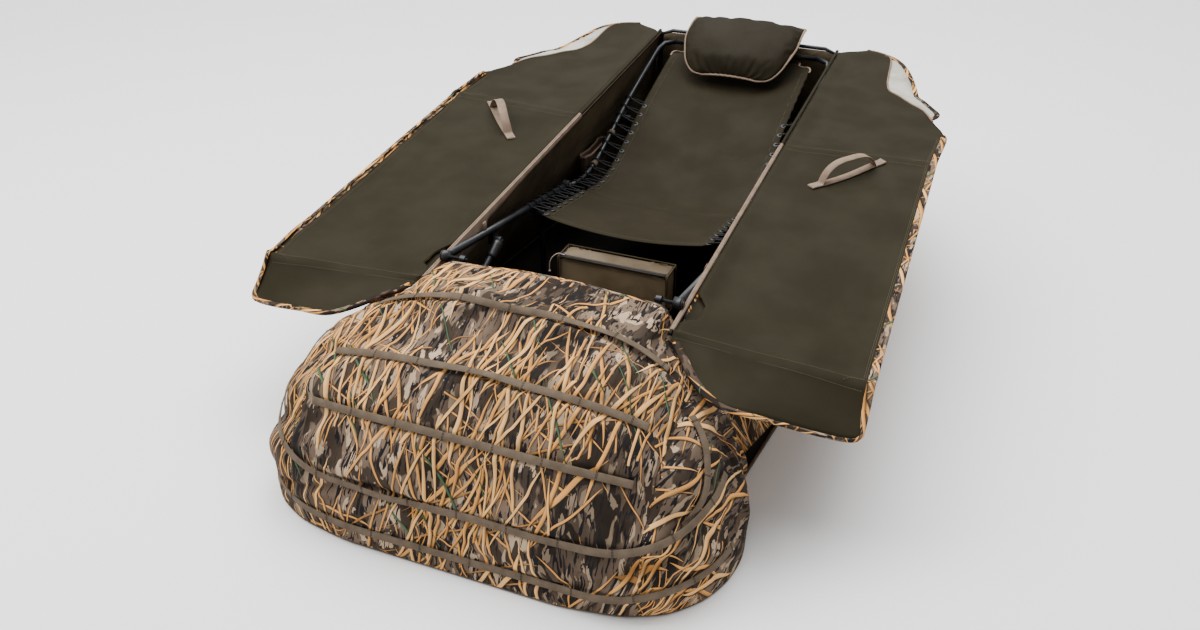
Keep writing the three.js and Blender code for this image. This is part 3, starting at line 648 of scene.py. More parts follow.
def ringPlan(tree, given):
    circle = put(tree, "GeometryNodeCurvePrimitiveCircle", {"Resolution": 18, "Radius": given["Radius"]})
    rim = put(tree, "GeometryNodeCurvePrimitiveCircle", {"Resolution": 8, "Radius": given["Rim"]})
    ring = put(tree, "GeometryNodeCurveToMesh", {0: circle.outputs[0], 1: rim.outputs[0]})
    facing = put(tree, "GeometryNodeInputNamedAttribute", {"Name": "facing"}, data_type="FLOAT_VECTOR")
    return given["Geometry"], ring.outputs[0], facing.outputs[0], True


stitches = repeat("stitchesAlongLine", {"Stitch": 0.004, "Gap": 0.002, "Thread": 0.0005}, stitchPlan)
rings = repeat("eyeletsOnPoints", {"Radius": 0.005, "Rim": 0.0014}, ringPlan)


def grow(name, tree, lines, look, facing=None, **sizes):
    # lines of points become one mesh, and the tree turns it into the finished small parts
    points, edges = [], []
    for line in lines:
        start = len(points)
        points += [tuple(p) for p in line]
        edges += [(start + i, start + i + 1) for i in range(len(line) - 1)]
    mesh = bpy.data.meshes.new(name)
    mesh.from_pydata(points, edges, [])
    if facing is not None:
        stored = mesh.attributes.new("facing", "FLOAT_VECTOR", "POINT")
        stored.data.foreach_set("vector", np.array([tuple(f) for f in facing], np.float32).ravel())
    piece = link(name, mesh)
    made = piece.modifiers.new(tree.name, "NODES")
    made.node_group = tree
    sizes["Look"] = looks[look]
    for item in tree.interface.items_tree:
        if item.in_out == "INPUT" and item.name in sizes:
            made[item.identifier] = sizes[item.name]
    return plain(piece)


def smoothCopy(nodeList, name, look, body, slotName, angle=50):
    # the CAD nodes' own shape, merged and shaded smoothly
    made = bmesh.new()
    for node in nodeList:
        made.from_mesh(nodes[node].data)
    bmesh.ops.remove_doubles(made, verts=made.verts, dist=0.00001)
    mesh = bpy.data.meshes.new(name)
    made.to_mesh(mesh)
    made.free()
    mesh.materials.clear()
    mesh.materials.append(looks[look])
    for polygon in mesh.polygons:
        polygon.material_index = 0
    mesh.shade_smooth()
    mesh.set_sharp_from_angle(angle=math.radians(angle))
    dress(link(name, mesh), body, slotName, *nodeList)


def pointsOf(piece):
    return np.array([v.co[:] for v in piece.data.vertices])


def movePoints(piece, spots):
    piece.data.vertices.foreach_set("co", spots.astype(np.float32).ravel())
    piece.data.update()


def settle(piece, held, options):
    # loose cloth: the held points stay, the rest finds its own folds
    rest = pointsOf(piece)
    group = piece.vertex_groups.new(name="held")
    for i, weight in held.items():
        group.add([i], weight, "REPLACE")
    made = piece.modifiers.new("settle", "CLOTH")
    cloth = made.settings
    cloth.quality = 5
    cloth.mass = 0.2
    cloth.tension_stiffness = cloth.compression_stiffness = options["stiff"]
    cloth.shear_stiffness = 4
    cloth.bending_stiffness = options["bending"]
    cloth.vertex_group_mass = "held"
    cloth.pin_stiffness = 2
    cloth.shrink_min = -options["spare"]
    cloth.use_pressure = True
    cloth.uniform_pressure_force = options["pressure"]
    cloth.effector_weights.gravity = 0.0
    frames = options["frames"]
    made.point_cache.frame_end = frames + 1
    for number in range(1, frames + 1):
        scene.frame_set(number)
    moved = pointsOf(piece.evaluated_get(bpy.context.evaluated_depsgraph_get()))
    piece.modifiers.remove(made)
    piece.vertex_groups.clear()
    scene.frame_set(1)
    step = moved - rest
    size = np.linalg.norm(step, axis=1, keepdims=True)
    step *= np.minimum(1, options["cap"] / np.maximum(size, 1e-9))
    movePoints(piece, rest + step)


# camera, lights, floor
view = {"place": (0.92, -1.99, 1.64), "down": 31.4, "turn": 22.3, "lens": 33.0}
camera = link("camera", bpy.data.cameras.new("camera"))
camera.data.lens = view["lens"]
camera.data.sensor_width = 36.0
camera.data.clip_end = 60
camera.location = at(*view["place"])
camera.rotation_euler = (math.radians(90 - view["down"]), 0, math.radians(view["turn"]))
scene.camera = camera

ground = newPiece("ground", [(-12, -12, 0), (12, -12, 0), (12, 12, 0), (-12, 12, 0)], [(0, 1, 2, 3)], "netting")
groundLook = bpy.data.materials.new("paleFloor")
groundLook.use_nodes = True
groundShader = groundLook.node_tree.nodes["Principled BSDF"]
groundShader.inputs["Base Color"].default_value = (0.95, 0.95, 0.95, 1)
groundShader.inputs["Roughness"].default_value = 0.9
ground.data.materials.clear()
ground.data.materials.append(groundLook)
ground.location.z = -0.0015


def addLight(name, place, target, size, power):
    light = bpy.data.lights.new(name, "AREA")
    light.shape = "RECTANGLE"
    light.size, light.size_y = size
    light.energy = power
    lamp = link(name, light)
    lamp.location = place
    lamp.rotation_euler = (Vector(target) - Vector(place)).to_track_quat("-Z", "Y").to_euler()


addLight("keyLight", (-2.4, -1.2, 3.8), (0, -0.2, 0.3), (2.2, 2.2), 120)
addLight("topLight", (0.0, 1.4, 4.6), (0, 0.1, 0.3), (3.4, 3.0), 160)
sky = bpy.data.lights.new("skyLight", "SUN")
sky.energy = 3.4
sky.angle = math.radians(75)
link("skyLight", sky).rotation_euler = (math.radians(-16), math.radians(-14), 0)
world = bpy.data.worlds.new("studio")
world.use_nodes = True
world.node_tree.nodes["Background"].inputs[0].default_value = (1.0, 1.0, 1.0, 1)
world.node_tree.nodes["Background"].inputs[1].default_value = 0.6
scene.world = world
print("camera and lights ready")


# tubes and fittings: name, look, body and the CAD nodes
fittings = [("seatRail", "tube", "base", "seat_rail"),
            ("railFittings", "plastic", "base", "foot_frame_bracket front_leg_bracket seat_hinge"),
            ("reclinePin", "tube", "base", "recline_pin door_hinge_rod"),
            ("backTube", "tube", "back", "back_tube"),
            ("backFittings", "plastic", "back", "back_hinge rear_leg_bracket"),
            ("footTube", "tube", "foot_frame", "foot_tube"),
            ("hubBoss", "plastic", "base", "hub"),
            ("doorRods", "tube", "door", "door_front_rib door_edge_rod door_rear_rib")]
for side, s in sides:
    for name, look, body, parts in fittings:
        smoothCopy([f"{part}_{side}" for part in parts.split()], f"{name}.{side}", look,
                   f"door_{side}" if body == "door" else body,
                   "frame_tube" if look == "tube" else "black_plastic", 50 if look == "tube" else 35)
for name, body, part in (("backTopTube", "back", "back_top_tube"), ("frontLeg", "front_leg", "front_leg"),
                         ("rearLeg", "rear_leg", "rear_leg"), ("footCrossTube", "foot_frame", "foot_cross_tube"),
                         ("footHoop", "foot_hoop", "foot_hoop"), ("headHoop", "base", "head_hoop")):
    smoothCopy([part], name, "tube", body, "frame_tube")


# the moulded collar over the end of each foot tube
collar = {"long": 0.052, "half": 0.0165}
for side, s in sides:
    eyeAt = middle(f"foot_frame_bracket_{side}")
    low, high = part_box(f"foot_tube_{side}")
    x = s * (abs(low.x + high.x) / 2)
    pinSpot = Vector((x, eyeAt.y, high.z - 0.011))
    toward = (Vector((x, low.y, low.z)) - pinSpot).normalized()
    sleeve = []
    for k in range(9):            # tapered sleeve over the tube's end
        t = k / 8
        r = collar["half"] * ((1 - 0.22 * t) if k else 0.8)
        spot = pinSpot + toward * (collar["long"] * t + 0.006)
        sleeve += [spot + Vector((a * 0.92, 0, 0)) + toward.cross(Vector((1, 0, 0))) * b
                   for a, b in roundSection(r, 20)]
    faces = [(k * 20 + i, k * 20 + (i + 1) % 20, (k + 1) * 20 + (i + 1) % 20, (k + 1) * 20 + i)
             for k in range(8) for i in range(20)]
    faces += [tuple(range(20)), tuple(160 + i for i in range(20))]
    dress(turnOut(newPiece(f"tubeCollar.{side}", sleeve, faces, "plastic")), "foot_frame", "black_plastic")
print("frame ready")


# sling: one cloth over seat and back
sling = {"half": 0.2375, "drop": 0.003, "sagSeat": 0.026, "sagBack": 0.022, "hem": 0.022, "columns": 48,
         "step": 0.0125, "pitch": 0.04}   # pitch: from eyelet to eyelet
slingEnd = topOut - 0.012
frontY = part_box("seat_sling")[0].y - hubY


def slingHeight(x, y):
    u = min(abs(x) / sling["half"], 1)
    seatShare = soft(y, pivotOut - 0.05, pivotOut + 0.05)
    sag = sling["sagSeat"] * (1 - seatShare) + sling["sagBack"] * seatShare
    z = tubeZ(y) - sling["drop"] - sag * (1 - u * u)
    z -= 0.0045 * bump(y, pivotOut + 0.004, 0.006)  # crease where seat and back meet
    z += 0.003 * bump(y, pivotOut + 0.022, 0.012)
    z += 0.0022 * rough(x * 0.6, y, 3, 5) + 0.0035 * rough(x, y * 0.5, 7, 2.4)
    z += 0.0025 * math.sin(y * 2 * math.pi / sling["pitch"]) * soft(u, 0.86, 1.0)  # pulled by the eyelets
    z -= 0.003 * bump(abs(x) - 0.6 * (y - topOut + 0.34), 0, 0.012) * soft(y, topOut - 0.3, topOut - 0.12)
    z += 0.0018 * soft(abs(x), sling["half"] - sling["hem"], sling["half"] - sling["hem"] + 0.002)
    return z


def slingHalf(y):                 # the top corners are cut back
    half = sling["half"] - 0.0025 * (0.5 - 0.5 * math.cos((y - 0.43) * 2 * math.pi / sling["pitch"]))
    return half - 0.045 * soft(y, topOut - 0.062, topOut - 0.03)


rows = []
count = int((slingEnd - frontY) / sling["step"])
for i in range(count + 1):
    y = frontY + (slingEnd - frontY) * i / count
    half = slingHalf(y)
    rows.append([at(half * u, y, slingHeight(half * u, y)) for u in np.linspace(-1, 1, sling["columns"] + 1)])
slingPiece = gridPiece("slingCloth", rows, "sling")
thicken(slingPiece, 0.0022)
plain(slingPiece)
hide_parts("seat_sling", "back_sling")
at(0, pivotOut - 0.03, pivot.z)
at(0, pivotOut + 0.03, pivot.z)
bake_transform(slingPiece)

# the sleeve that goes round the top tube
sleeveHalf, sleeveRound = 0.192, 0.0098
wrap = [(-math.pi * 0.95 + math.pi * 1.75 * k / 12) for k in range(13)]
rows = [[topBar + Vector((sleeveHalf * u, -sleeveRound * math.cos(a), -sleeveRound * math.sin(a)))
         for u in np.linspace(-1, 1, 25)] for a in wrap]
dress(gridPiece("slingSleeve", rows, "sling"), "back", "olive_fabric", cloth=(0.0015, 1.0))

# binding round the cut corners, stitches along the hems
for side, s in sides:
    line = []
    for k in range(15):
        y = topOut - 0.080 + 0.066 * k / 14
        half = slingHalf(y)
        line.append(at(s * half, y, slingHeight(half, y) - 0.0005))
    edge = sweep(f"cornerBinding.{side}", line, strapSection(0.006, 0.0034), "webbing", lambda i: (1, 0, 0))
    edge.data.transform(Matrix.Translation((0, 0, -0.0016)))
    dress(edge, "back", "tan_webbing")


def hemLine(x0, start, end, inset=0.0):
    return [at(x, y, slingHeight(abs(x), y) + 0.0004) for y in np.arange(start, end, 0.01)
            for x in [x0 * (slingHalf(y) - inset)]]


for name, body, start, end, crossY, half in (("seat", "base", frontY + 0.02, pivotOut - 0.035, frontY + 0.018, 0.21),
                                             ("back", "back", pivotOut + 0.035, slingEnd - 0.06, slingEnd - 0.012,
                                              0.18)):
    hems = [hemLine(s, start, end, 0.021) for s in (-1, 1)]
    hems.append([at(x, crossY, slingHeight(x, crossY) + 0.0004) for x in np.linspace(-half, half, 40)])
    dress(grow(f"{name}Stitches", stitches, hems, "oliveThread"), body, "olive_fabric")
print("sling ready")

# eyelets and elastic lacing
lacing = {"inset": 0.0095, "cord": 0.002, "eyelet": 0.0052, "eyeletRim": 0.0012, "grommet": 0.0072,
          "grommetRim": 0.0013, "knot": 0.0048}
for part, body, startY, endY in (("seat", "base", frontY + 0.015, pivotOut - 0.03),
                                 ("back", "back", pivotOut + 0.045, pivotOut + 0.49)):
    places = [startY + i * sling["pitch"] for i in range(int((endY - startY) / sling["pitch"]) + 1)]
    eyes, facings = [], []
    for side, s in sides:
        cords = []
        for y in places:
            x = slingHalf(y) - lacing["inset"]
            eyes.append([at(s * x, y, slingHeight(x, y) + 0.0006)])
            ahead = (at(0, y + 0.01, slingHeight(x, y + 0.01)) - at(0, y - 0.01, slingHeight(x, y - 0.01)))
            facings.append(Vector((1, 0, 0)).cross(ahead).normalized())
            r = (0.0095 if body == "base" else 0.008) + 0.0028
            tz, ez = tubeZ(y + 0.5 * sling["pitch"]), slingHeight(x, y)
            mid = y + 0.5 * sling["pitch"]
            knot = at(s * (x + 0.012), y + 0.004, ez + 0.0035)
            path = [at(s * x, y, ez - 0.005), at(s * x, y, ez + 0.003), knot,
                    at(s * (tubeX - 0.020), y + 0.012, (ez + tz) / 2 + 0.006)]
            for k in range(9):    # once round the tube
                a = math.radians(160 - 42 * k)
                path.append(at(s * (tubeX + r * math.cos(a)), mid - 0.006 + 0.0014 * k, tz + r * math.sin(a)))
            path += [at(s * (tubeX - 0.020), mid + 0.012, (ez + tz) / 2 + 0.001),
                     at(s * (x + 0.006), y + sling["pitch"] - 0.002, ez - 0.004)]
            cords.append(sweep("c", smoothLine(path, 4), roundSection(lacing["cord"], 8), "cord"))
            cords.append(ball("k", lacing["knot"], "cord", lambda p: p + knot))
        dress(joinPieces(f"{part}Lacing.{side}", cords), body, "elastic_cord", f"{part}_lacing_{side}")
    dress(grow(f"{part}Eyelets", rings, eyes, "ring", facings, Radius=lacing["eyelet"],
               Rim=lacing["eyeletRim"]), body, "elastic_cord")
    dress(grow(f"{part}Grommets", rings, eyes, "plastic", facings, Radius=lacing["grommet"],
               Rim=lacing["grommetRim"]), body, "black_plastic")
print("lacing ready")


# foot bag: a big loose camouflage shell over the foot hoop
bag = {"half": 0.535, "narrow": 0.105, "widest": -0.30, "crown": -0.15, "opening": -0.035, "front": -0.555,
       "height": 0.44, "columns": 120, "rows": 92, "seam": 0.400, "puff": 0.007,
       "strapWidth": 0.0165, "strapThick": 0.0020, "tackEvery": 0.108,
       "settle": {"spare": 0.035, "pressure": 1.2, "cap": 0.022, "frames": 16, "bending": 0.25, "stiff": 14}}


def bagSection(y):
    widen = min((bag["opening"] - y) / (bag["opening"] - bag["widest"]), 1)
    past = max((bag["widest"] - y) / (bag["widest"] - bag["front"]), 0)
    low = bag["half"] - bag["narrow"]
    half = (low + bag["narrow"] * math.sin(widen * math.pi / 2)) * max(1 - past * past, 0.012) ** 0.17
    down = max((bag["crown"] - y) / (bag["crown"] - bag["front"]), 0)
    rise = min((bag["opening"] - y) / (bag["opening"] - bag["crown"]), 1)
    high = (bag["height"] - 0.018 * (1 - rise)) * max(1 - down * down, 0) ** 0.35
    return half, high, 2.8 - 0.25 * math.sin(math.pi * widen)


def bagRow(y, columns):
    half, high, power = bagSection(y)
    fine = []
    for a in np.linspace(0, math.pi, 600):
        c, d = math.cos(a), math.sin(a)
        fine.append((-half * math.copysign(abs(c) ** (2 / power), c),
                     floorTop + (high - floorTop) * abs(d) ** (2 / power)))
    fine = np.array(fine)
    run = np.concatenate([[0], np.cumsum(np.linalg.norm(np.diff(fine, axis=0), axis=1))])
    want = np.linspace(0, run[-1], columns + 1)
    xs, zs = np.interp(want, run, fine[:, 0]), np.interp(want, run, fine[:, 1])
    level = soft(y, -0.24, -0.05)  # stretched level between the hubs at the opening
    for k, x in enumerate(xs):
        share = level * (1 - soft(abs(x), 0.262, 0.300))
        zs[k] += max(high - 0.004 - 0.16 * x * x - zs[k], 0) * share
    return np.stack([xs, np.full(columns + 1, y), zs], 1)


def bagRowPlaces(count):          # even steps down the middle of the front
    ys = np.concatenate([np.linspace(bag["opening"], -0.45, 400),
                         bag["front"] + 0.105 * (1 - np.linspace(0, 1, 600)[1:]) ** 2])
    line = np.array([[y, bagSection(y)[1]] for y in ys])
    run = np.concatenate([[0], np.cumsum(np.linalg.norm(np.diff(line, axis=0), axis=1))])
    return np.interp(np.linspace(0, run[-1], count + 1), run, ys)


# up: degrees above level; reach: half the width across the front; round: degrees round each side;
# rise: degrees gained on the way round; side: a short strap that climbs that side panel
straps = [
    {"up": 96, "reach": 0.378, "round": 0}, {"up": 62, "reach": 0.392, "round": 0},
    {"up": 36, "reach": 0.400, "round": 0}, {"up": 6, "reach": 0.36, "round": 84, "rise": 26},
    {"up": -12, "reach": 0.34, "round": 76, "rise": 8}]
straps += [{"up": 0, "reach": 0, "round": 0, "side": 1}, {"up": 0, "reach": 0, "round": 0, "side": -1}]
sideStrap = [(34, 13), (42, 19), (50, 26), (58, 35), (65, 45), (70, 56), (73, 66)]   # degrees round, degrees up
bagHeart = (-0.25, 0.115)         # y, z that the straps are measured round


def strapPlaces(strap, tree, lift):
    line = []

    def shoot(x, turn, up, heart=bagHeart):
        t, e = math.radians(turn), math.radians(up)
        way = Vector((math.sin(t) * math.cos(e), -math.cos(t) * math.cos(e), math.sin(e)))
        hit, normal, _, _ = tree.ray_cast(at(x, heart[0], heart[1]), way)
        if hit is not None:
            if normal.dot(way) < 0:
                normal = -normal
            line.append((hit + normal * lift, normal))
    if "side" in strap:
        fine = smoothLine([(t, e, 0) for t, e in sideStrap], 6)
        for p in fine:
            shoot(0.31 * strap["side"], p.x * strap["side"], p.y)
        return line
    rise = strap.get("rise", 0)
    for k in range(strap["round"] // 4, 0, -1):
        shoot(-0.31, -4.0 * k, strap["up"] + rise * (k / 20) ** 1.6)
    for x in np.linspace(-strap["reach"], strap["reach"], 60):
        edge = max(abs(x) - 0.31, 0) if strap["round"] else 0
        if edge <= 0:
            shoot(x, 0, strap["up"])
    for k in range(1, strap["round"] // 4 + 1):
        shoot(0.31, 4.0 * k, strap["up"] + rise * (k / 20) ** 1.6)
    return line


floorOutline = {}
for v in nodes["floor_sheet"].data.vertices:
    floorOutline[(round(v.co.x, 4), round(v.co.y, 4))] = v.co
ring = [Vector((c.x, c.y, 0)) for c in sorted(floorOutline.values(), key=lambda c: math.atan2(c.y, c.x))]
closed = evenly(ring + [ring[0]], 0.02)
closed = closed[:-1] if (closed[-1] - closed[0]).length < 0.008 else closed
for _ in range(2):
    closed = [(closed[i - 1] + p * 2 + closed[(i + 1) % len(closed)]) / 4 for i, p in enumerate(closed)]

rows = []
for i, y in enumerate(bagRowPlaces(bag["rows"])):
    rows.append([tuple(at(*p)) for p in bagRow(y, bag["columns"])])
bagPiece = gridPiece("footBag", rows, ["camo", "lining"])
tree = treeOf(bagPiece)
strapLines = [strapPlaces(strap, tree, 0) for strap in straps]
mesh = bagPiece.data
spots = pointsOf(bagPiece)
near = np.full(len(spots), 1.0)
for line in strapLines:
    points = np.array([p[:] for p, _ in line])
    for point in points:
        near = np.minimum(near, np.linalg.norm(spots - point, axis=1))
normals = np.array([v.normal[:] for v in mesh.vertices])
if normals[len(normals) // 2][2] < 0:
    normals = -normals
local = spots - np.array([0, hubY, 0])
count = bag["columns"] + 1
rowOf = np.arange(len(spots)) // count
columnOf = np.arange(len(spots)) % count
edge = np.minimum(np.minimum(rowOf / 6.0, 1), np.minimum(np.minimum(columnOf, bag["columns"] - columnOf) / 5.0, 1))
edge *= np.minimum((bag["rows"] - rowOf) / 4.0, 1)
seamPull = np.exp(-((np.abs(local[:, 0]) - bag["seam"]) / 0.012) ** 2) * (local[:, 1] < -0.1)
push = np.zeros(len(spots))
for i, (x, y, z) in enumerate(local):
    away = min(near[i] / 0.045, 1)
    swell = bag["puff"] * (1 - (1 - away) ** 2) - 0.004 * (near[i] < 0.009)
    big = 0.010 * rough(x, y, z, 3.1) + 0.006 * rough(x + 4, y * 1.5, z * 1.5, 7.0)
    corner = soft(abs(x), 0.22, 0.44) * soft(-y, 0.30, 0.46)
    fold = -0.026 * bump(z + 0.05 * math.sin(x * 9), 0.098, 0.014) * (0.35 + 0.65 * corner)
    lip = 0.012 * bump(z + 0.05 * math.sin(x * 9), 0.14, 0.03) * (0.4 + 0.6 * corner)
    tucks = 0.010 * corner * math.sin(26 * (x * 0.7 * np.sign(x) + z * 1.9 + y * 0.6))
    push[i] = swell + big + (fold + lip) * soft(-y, 0.42, 0.52) + tucks - 0.007 * seamPull[i]
spots += normals * (push * edge)[:, None]
ringX, ringY = np.array([c.x for c in closed]), np.array([c.y for c in closed]) - hubY + 0.25
ringTurn = np.arctan2(ringY, ringX)
order = np.argsort(ringTurn)
turn = np.arctan2(local[:, 1] + 0.25, local[:, 0])
reach = np.interp(turn, ringTurn[order], np.hypot(ringX, ringY)[order], period=2 * math.pi) + 0.0035
radius = np.maximum(np.hypot(spots[:, 0], spots[:, 1] - hubY + 0.25), 0.001)
drop = np.clip(1 - spots[:, 2] / 0.115, 0, 1)   # the lowest roll flares out to the floor's edge
flare = np.where(local[:, 1] < -0.04, np.maximum(reach / radius, 1) - 1, 0) * (1 - (1 - drop) ** 2.2)
spots[:, 0] *= 1 + flare
spots[:, 1] = hubY - 0.25 + (spots[:, 1] - hubY + 0.25) * (1 + flare)
spots[:, 2] = np.maximum(spots[:, 2], floorTop + 0.0005)
movePoints(bagPiece, spots)
held = {}
for i in range(len(spots)):
    fixed = max(1.0 if near[i] < 0.010 else 0.0, seamPull[i] * 0.8, 1.0 if edge[i] < 0.3 else 0.0)
    if fixed > 0.05:
        held[i] = float(min(fixed, 1))
settle(bagPiece, held, bag["settle"])
spots = pointsOf(bagPiece)
spots[:, 2] = np.maximum(spots[:, 2], floorTop + 0.0005)
mesh.vertices.foreach_set("co", spots.astype(np.float32).ravel())
layer = mesh.uv_layers["cloth"]
for polygon in mesh.polygons:     # the side panels are other pieces of cloth
    xs = np.mean([local[v][0] for v in polygon.vertices])
    if abs(xs) > bag["seam"] and local[polygon.vertices[0]][1] < -0.1:
        for k in polygon.loop_indices:
            u, v = layer.data[k].uv
            layer.data[k].uv = (u * 0.94 + v * 0.34 + 2.0 * np.sign(xs), v * 0.94 - u * 0.34 + 1.3)
topFace = max(bagPiece.data.polygons, key=lambda p: p.center.z)
if topFace.normal.z < 0:
    bagPiece.data.flip_normals()
bagTree = treeOf(bagPiece)
dress(bagPiece, "base", "camo_fabric", "foot_bag", cloth=(0.0016, -1.0, 1), fine=True)

def eased(values, reach):         # the mean of each value's neighbourhood
    near = [values[max(i - reach, 0):i + reach + 1] for i in range(len(values))]
    return [sum(some[1:], some[0]) / len(some) for some in near]


def along(line, i):
    return line[min(i + 1, len(line) - 1)] - line[max(i - 1, 0)]


# stubble straps, sewn down every hand's width
strapPieces, tacks = [], []
for strap in straps:
    line = strapPlaces(strap, bagTree, 0.0012)
    points = [p for p, _ in line]
    ups = [n for _, n in line]
    run, sewn = 0.0, 0.0
    smoothPoints, smoothUps = points, ups
    for _ in range(3):            # eased so that the strap spans the small folds
        smoothPoints, smoothUps = eased(smoothPoints, 3), [n.normalized() for n in eased(smoothUps, 4)]
    need = []
    for i, p in enumerate(smoothPoints):   # kept out of the cloth where it stands proud
        wide = along(smoothPoints, i).cross(smoothUps[i]).normalized()
        proud = 0.0
        for t in (-0.008, 0, 0.008):
            hit = bagTree.ray_cast(p + wide * t + smoothUps[i] * 0.04, -smoothUps[i], 0.08)
            if hit[0] is not None:
                proud = max(proud, 0.0418 - hit[3])
        need.append(proud)
    need = [max(need[max(i - 2, 0):i + 3]) for i in range(len(need))]
    need = eased(eased(need, 2), 2)
    lifted = [p + n * max(a, 0.0005) for p, n, a in zip(smoothPoints, smoothUps, need)]
    piece = sweep("s", lifted, strapSection(bag["strapWidth"], bag["strapThick"]), "strap",
                  lambda i: along(lifted, i).cross(smoothUps[i]))
    strapPieces.append(piece)
    for i in range(1, len(lifted)):
        run += (lifted[i] - lifted[i - 1]).length
        if run - sewn > bag["tackEvery"]:
            sewn = run
            ahead = along(lifted, i).normalized()
            wide = ahead.cross(smoothUps[i]).normalized()
            for shift in (-0.0012, 0.0012):
                tacks.append([lifted[i] + wide * t + ahead * shift + smoothUps[i] * 0.0020
                              for t in (-0.0085, 0.0, 0.0085)])
dress(joinPieces("stubbleStraps", strapPieces), "base", "tan_webbing")
dress(grow("strapTacks", stitches, tacks, "darkThread", Stitch=0.0042, Gap=0.0001, Thread=0.0006), "base",
      "camo_fabric")

# the bag's hem at the opening, and the seam lines of its side panels
hem = [at(*p) for p in bagRow(bag["opening"], 90)]
hemUp = [Vector((p.x * 0.4, 0, p.z)).normalized() for p in hem]
edge = sweep("bagHem", [p + n * 0.001 for p, n in zip(hem, hemUp)][4:-4], strapSection(0.012, 0.0045), "camo",
             lambda i: (0, 1, 0))
dress(edge, "base", "camo_fabric")
seams = []
for side, s in sides:
    line = []
    for y in np.linspace(-0.12, -0.50, 60):
        hit = bagTree.ray_cast(at(s * bag["seam"], y, 1), Vector((0, 0, -1)))
        if hit[0] is not None:
            line.append(hit[0] + hit[1] * 0.0004)
    seams.append(line)
dress(grow("bagSeams", stitches, seams, "darkThread", Stitch=0.004, Gap=0.0012, Thread=0.0009), "base", "camo_fabric")
print("straps ready")


# doors: olive lining, camouflage back, bound edge, netting window, handle
door = {"inner": hingeX + 0.0065, "outer": 0.741, "pull": 0.020, "rib": -0.092, "rear": 0.833, "corner": 1.045,
        "columns": 40, "sag": 0.009, "edge": 0.015, "peak": 1.590, "thread": 0.0005}
doorTree = treeOf(nodes["door_panel_right"])
slopes = [(y, (heightOn(doorTree, 0.46, y, hingeZ(y)) - hingeZ(y)) / (0.46 - door["inner"]))
          for y in np.linspace(-0.09, 1.5, 40)]


def doorSlope(y):
    return float(np.interp(y, [s[0] for s in slopes], [s[1] for s in slopes]))


headCut = [(1.045, 0.715), (1.085, 0.700), (1.14, 0.668), (1.205, 0.628), (1.26, 0.562), (1.30, 0.520),
           (1.36, 0.502), (1.42, 0.494), (1.50, 0.486), (1.545, 0.475), (1.572, 0.446), (1.584, 0.418)]
headLine = smoothLine([(x, y, 0) for y, x in headCut], 6)


def outerEdge(y):
    if y < door["corner"]:
        return door["outer"] - door["pull"] * max(y - door["rib"], 0) / (door["rear"] - door["rib"]) \
            + 0.008 * soft(y, door["rear"], door["corner"]) - 0.004 * soft(y, 1.0, 1.045)
    return float(np.interp(y, [p.y for p in headLine], [p.x for p in headLine]))


def innerEdge(y):
    notch = 0.030 * soft(y, -0.045, -0.02) * (1 - soft(y, 0.035, 0.08))
    return door["inner"] + notch + 0.085 * soft(y, 1.525, door["peak"]) ** 1.4


footCurve = smoothLine([(0.316, -0.112, 0), (0.345, -0.150, 0), (0.385, -0.205, 0), (0.430, -0.243, 0),
                        (0.480, -0.254, 0), (0.560, -0.234, 0), (0.65, -0.203, 0), (0.715, -0.186, 0),
                        (0.736, -0.179, 0), (0.741, -0.170, 0)], 6)


def footEdge(x):
    return float(np.interp(x, [p.x for p in footCurve], [p.y for p in footCurve]))


def doorHeight(x, y):
    base = min(max(y, door["rib"]), 1.56)
    z = hingeZ(y if y > door["rib"] else door["rib"]) + doorSlope(base) * (x - door["inner"])
    u = (x - door["inner"]) / (door["outer"] - door["inner"])
    inside = soft(u, 0.0, 0.12) * (1 - soft(u, 0.86, 0.99))
    if y < door["rib"]:
        away = door["rib"] - y
        z -= away * (0.12 + 0.74 * max((x - 0.40) / 0.34, 0) ** 1.5)
        z += 0.006 * math.sin(x * 24 + 1) * soft(away, 0.02, 0.12) - 0.006 * bump(away, 0.05, 0.03)
    z += 0.0072 * bump(y, door["rib"], 0.009) + 0.0042 * bump(y, door["rear"], 0.010) * soft(u, 0.0, 0.1)
    z -= 0.0045 * bump(y, door["rib"] + 0.028, 0.018) * inside
    z -= 0.0030 * bump(y, door["rear"] - 0.026, 0.016) * inside
    main = soft(y, door["rib"], 0.1) * (1 - soft(y, 0.72, door["rear"]))
    z -= door["sag"] * main * inside
    head = soft(y, door["rear"], 0.95) * (1 - soft(y, 1.40, 1.55))
    z -= 0.007 * head * inside
    z += 0.0035 * rough(x * 1.3 + y * 0.5, y * 0.8 - x * 0.6, 2, 4.5) * inside
    z += 0.0050 * rough(x + y * 0.7, y - x * 0.5, 5, 2.2) * inside
    z += 0.004 * math.sin((x - 0.31) * 38 - (y - 1.2) * 13) * inside * head * soft(y, 1.1, 1.35)
    return z


def onDoor(s, x, y, lift=0.0):
    return at(s * x, y, doorHeight(x, y) + lift)


doorRows = [("foot", 1 - k / 9) for k in range(9)]
doorRows += [("main", y) for y in np.linspace(door["rib"], 1.50, 112)]
doorRows += [("main", y) for y in np.linspace(1.508, door["peak"] - 0.002, 12)]


def doorPoint(kind, value, u):
    if kind == "main":
        inner, outer = innerEdge(value), outerEdge(min(value, 1.584)) - 0.02 * soft(value, 1.57, door["peak"])
        x = inner + (outer - inner) * u
        return x, value + 0.006 * math.sin(math.pi * u) * soft(value, 1.56, door["peak"])
    inner = innerEdge(door["rib"])
    outer = outerEdge(door["rib"])
    x = inner + (outer - inner) * u
    return x, door["rib"] + (footEdge(x) - door["rib"]) * value


